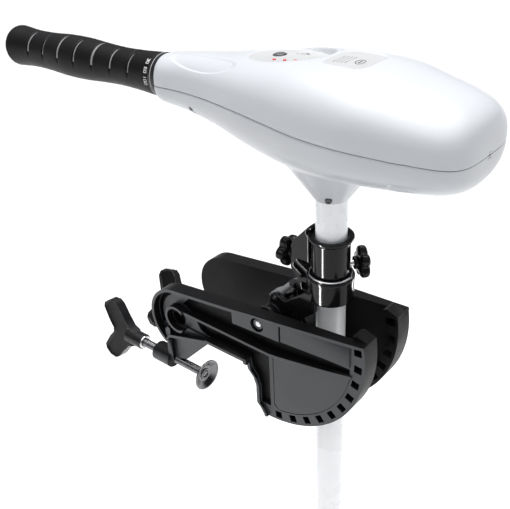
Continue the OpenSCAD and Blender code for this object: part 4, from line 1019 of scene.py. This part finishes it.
def blade_points():
    """Sections of a propeller blade as in the CAD, but finer and with a rounded tip."""
    m = BLADE_STEPS
    points = []
    for i in range(BLADE_STATIONS):
        k = i / (BLADE_STATIONS - 1)
        r = BLADE_ROOT_R + (PROP_R - BLADE_ROOT_R) * k
        chord = 34 + 42 * math.sin(math.radians(150 * k + 15)) * (1 - 0.45 * k ** 3)
        chord *= math.sqrt(max(1 - max((k - 0.8) / 0.2, 0) ** 2.5, 0.0025))
        pitch = math.radians(58 - 34 * k)
        thick, sweep = 5.5 - 3.5 * k, 10 * k * k
        for j in range(2 * m):
            u = j / m if j <= m else (2 * m - j) / m
            c = (u - 0.5) * chord
            h = (1 if j <= m else -1) * thick * math.sqrt(max(u * (1 - u), 0.0009))
            points.append((c * math.cos(pitch) + h * math.sin(pitch) + sweep,
                           c * math.sin(pitch) - h * math.cos(pitch), r))
    return points


def build_lower_unit():
    """The motor housing with its nose and bell, and the propeller with its nut."""
    pod = LOCAL @ Matrix.Translation((0, 0, POD_Z))
    soften("motor_housing", 1.3, 3)
    nose = [(POD_FRONT - 0.1 - NOSE_LENGTH * math.sin(a), max(POD_R * math.cos(a) ** NOSE_BLUNT, AXIS))
            for a in np.linspace(math.pi / 2, 0, 28)]
    nose += [(POD_FRONT - 0.1, POD_R - 4), (POD_FRONT - 14, 13), (POD_FRONT - 14, AXIS)]
    lathe("nose_turned", nose, finish["pod_paint"], pod, "nose_cone", sharp=SOFT_CRISP)
    bell = shifted(POD_BACK, [(0.1, 30), (0.1, POD_R), (12, POD_R - 1.5), (26, POD_R - 8), (34, 30),
                              (34, 8.1), (22, 8.1), (22, 13), (0.1, 13.05)])
    lathe("bell_turned", closed(bell), finish["pod_paint"], pod, "rear_end_bell", fillet=1.5, sharp=CRISP)
    hub_place = pod @ Matrix.Translation((HUB_X, 0, 0))
    plastic = finish["prop_plastic"]
    hub = closed([(0, 6), (0, 29), (44, 25), (44, 6)])
    lathe("prop_hub", hub, plastic, hub_place, "propeller", fillet=1.2, sharp=CRISP)
    columns = 2 * BLADE_STEPS
    faces = grid_faces(BLADE_STATIONS, columns)
    faces += [tuple(range(columns - 1, -1, -1)),
              tuple((BLADE_STATIONS - 1) * columns + j for j in range(columns))]
    for i in range(2):
        place = hub_place @ Matrix.Rotation(math.pi * i, 4, "X") @ Matrix.Translation((BLADE_MIDDLE, 0, 0))
        blade = add_mesh("prop_blade_%d" % i, blade_points(), faces, [plastic], place, sharp=60)
        settle(blade, beside="propeller")
    nut = shifted(HUB_X, [(44.1, 5.1), (44.1, 14), (54, 14), (64, 8), (66, AXIS)])
    lathe("prop_nut_turned", nut, finish["steel"], pod, "prop_nut", fillet=1.5, sides=48)


# ---------- scene ----------

add_camera()
add_world()
add_light("overhead", (-0.35, 0.35, 2.2), (0, 0, 0.2), 1.3, 40)
add_light("low_front", (-0.75, -1.1, -0.45), (0, 0, 0.05), 0.9, 1.0, 0.7, gloss_only=True)

build_head()
build_grip()
for cad_name, cad_object in nodes.items():
    for index in range(len(cad_object.data.materials)):
        cad_object.data.materials[index] = finish[cad_slot[cad_name]]
build_hinge()
build_clamps()
build_lower_unit()
# the plates' faces that lie in shade take painted shade
for cad_name in ("near_plate", "far_plate"):
    refine(cad_name, 0.5, [finish["bracket_grey"], accent["painted_shade_black"]], pick=plate_painted_shade)
refine("cover_screws", 0.3, [accent["dark_steel"]])
refine("transom_block", 1.0)

# strips of light that only the glossy pieces round the shaft reflect
shiny_names = ("collar_turned", "collar_washer_turned", "bright_ring", "ring_lip", "carrier_cast")
shiny = [obj for obj in bpy.data.objects if obj.name in shiny_names]
COLLAR_M = (0.06, 0, 0.15)
add_light("front_strip", (-0.2, -0.81, -0.36), COLLAR_M, 0.08, 24.0, 0.9, gloss_only=True, receivers=shiny)
add_light("rim_strip", (0.29, 0.82, -0.36), COLLAR_M, 0.04, 4.0, 0.9, gloss_only=True, receivers=shiny)

FLOOR_HALF, FLOOR_GAP = 3e4, 0.5
floor_z = cad_box[0][2] / MM - FLOOR_GAP
corners = [(x * FLOOR_HALF, y * FLOOR_HALF, floor_z) for x, y in ((-1, -1), (1, -1), (1, 1), (-1, 1))]
floor = add_mesh("floor", corners, [(0, 1, 2, 3)], [accent["floor"]])
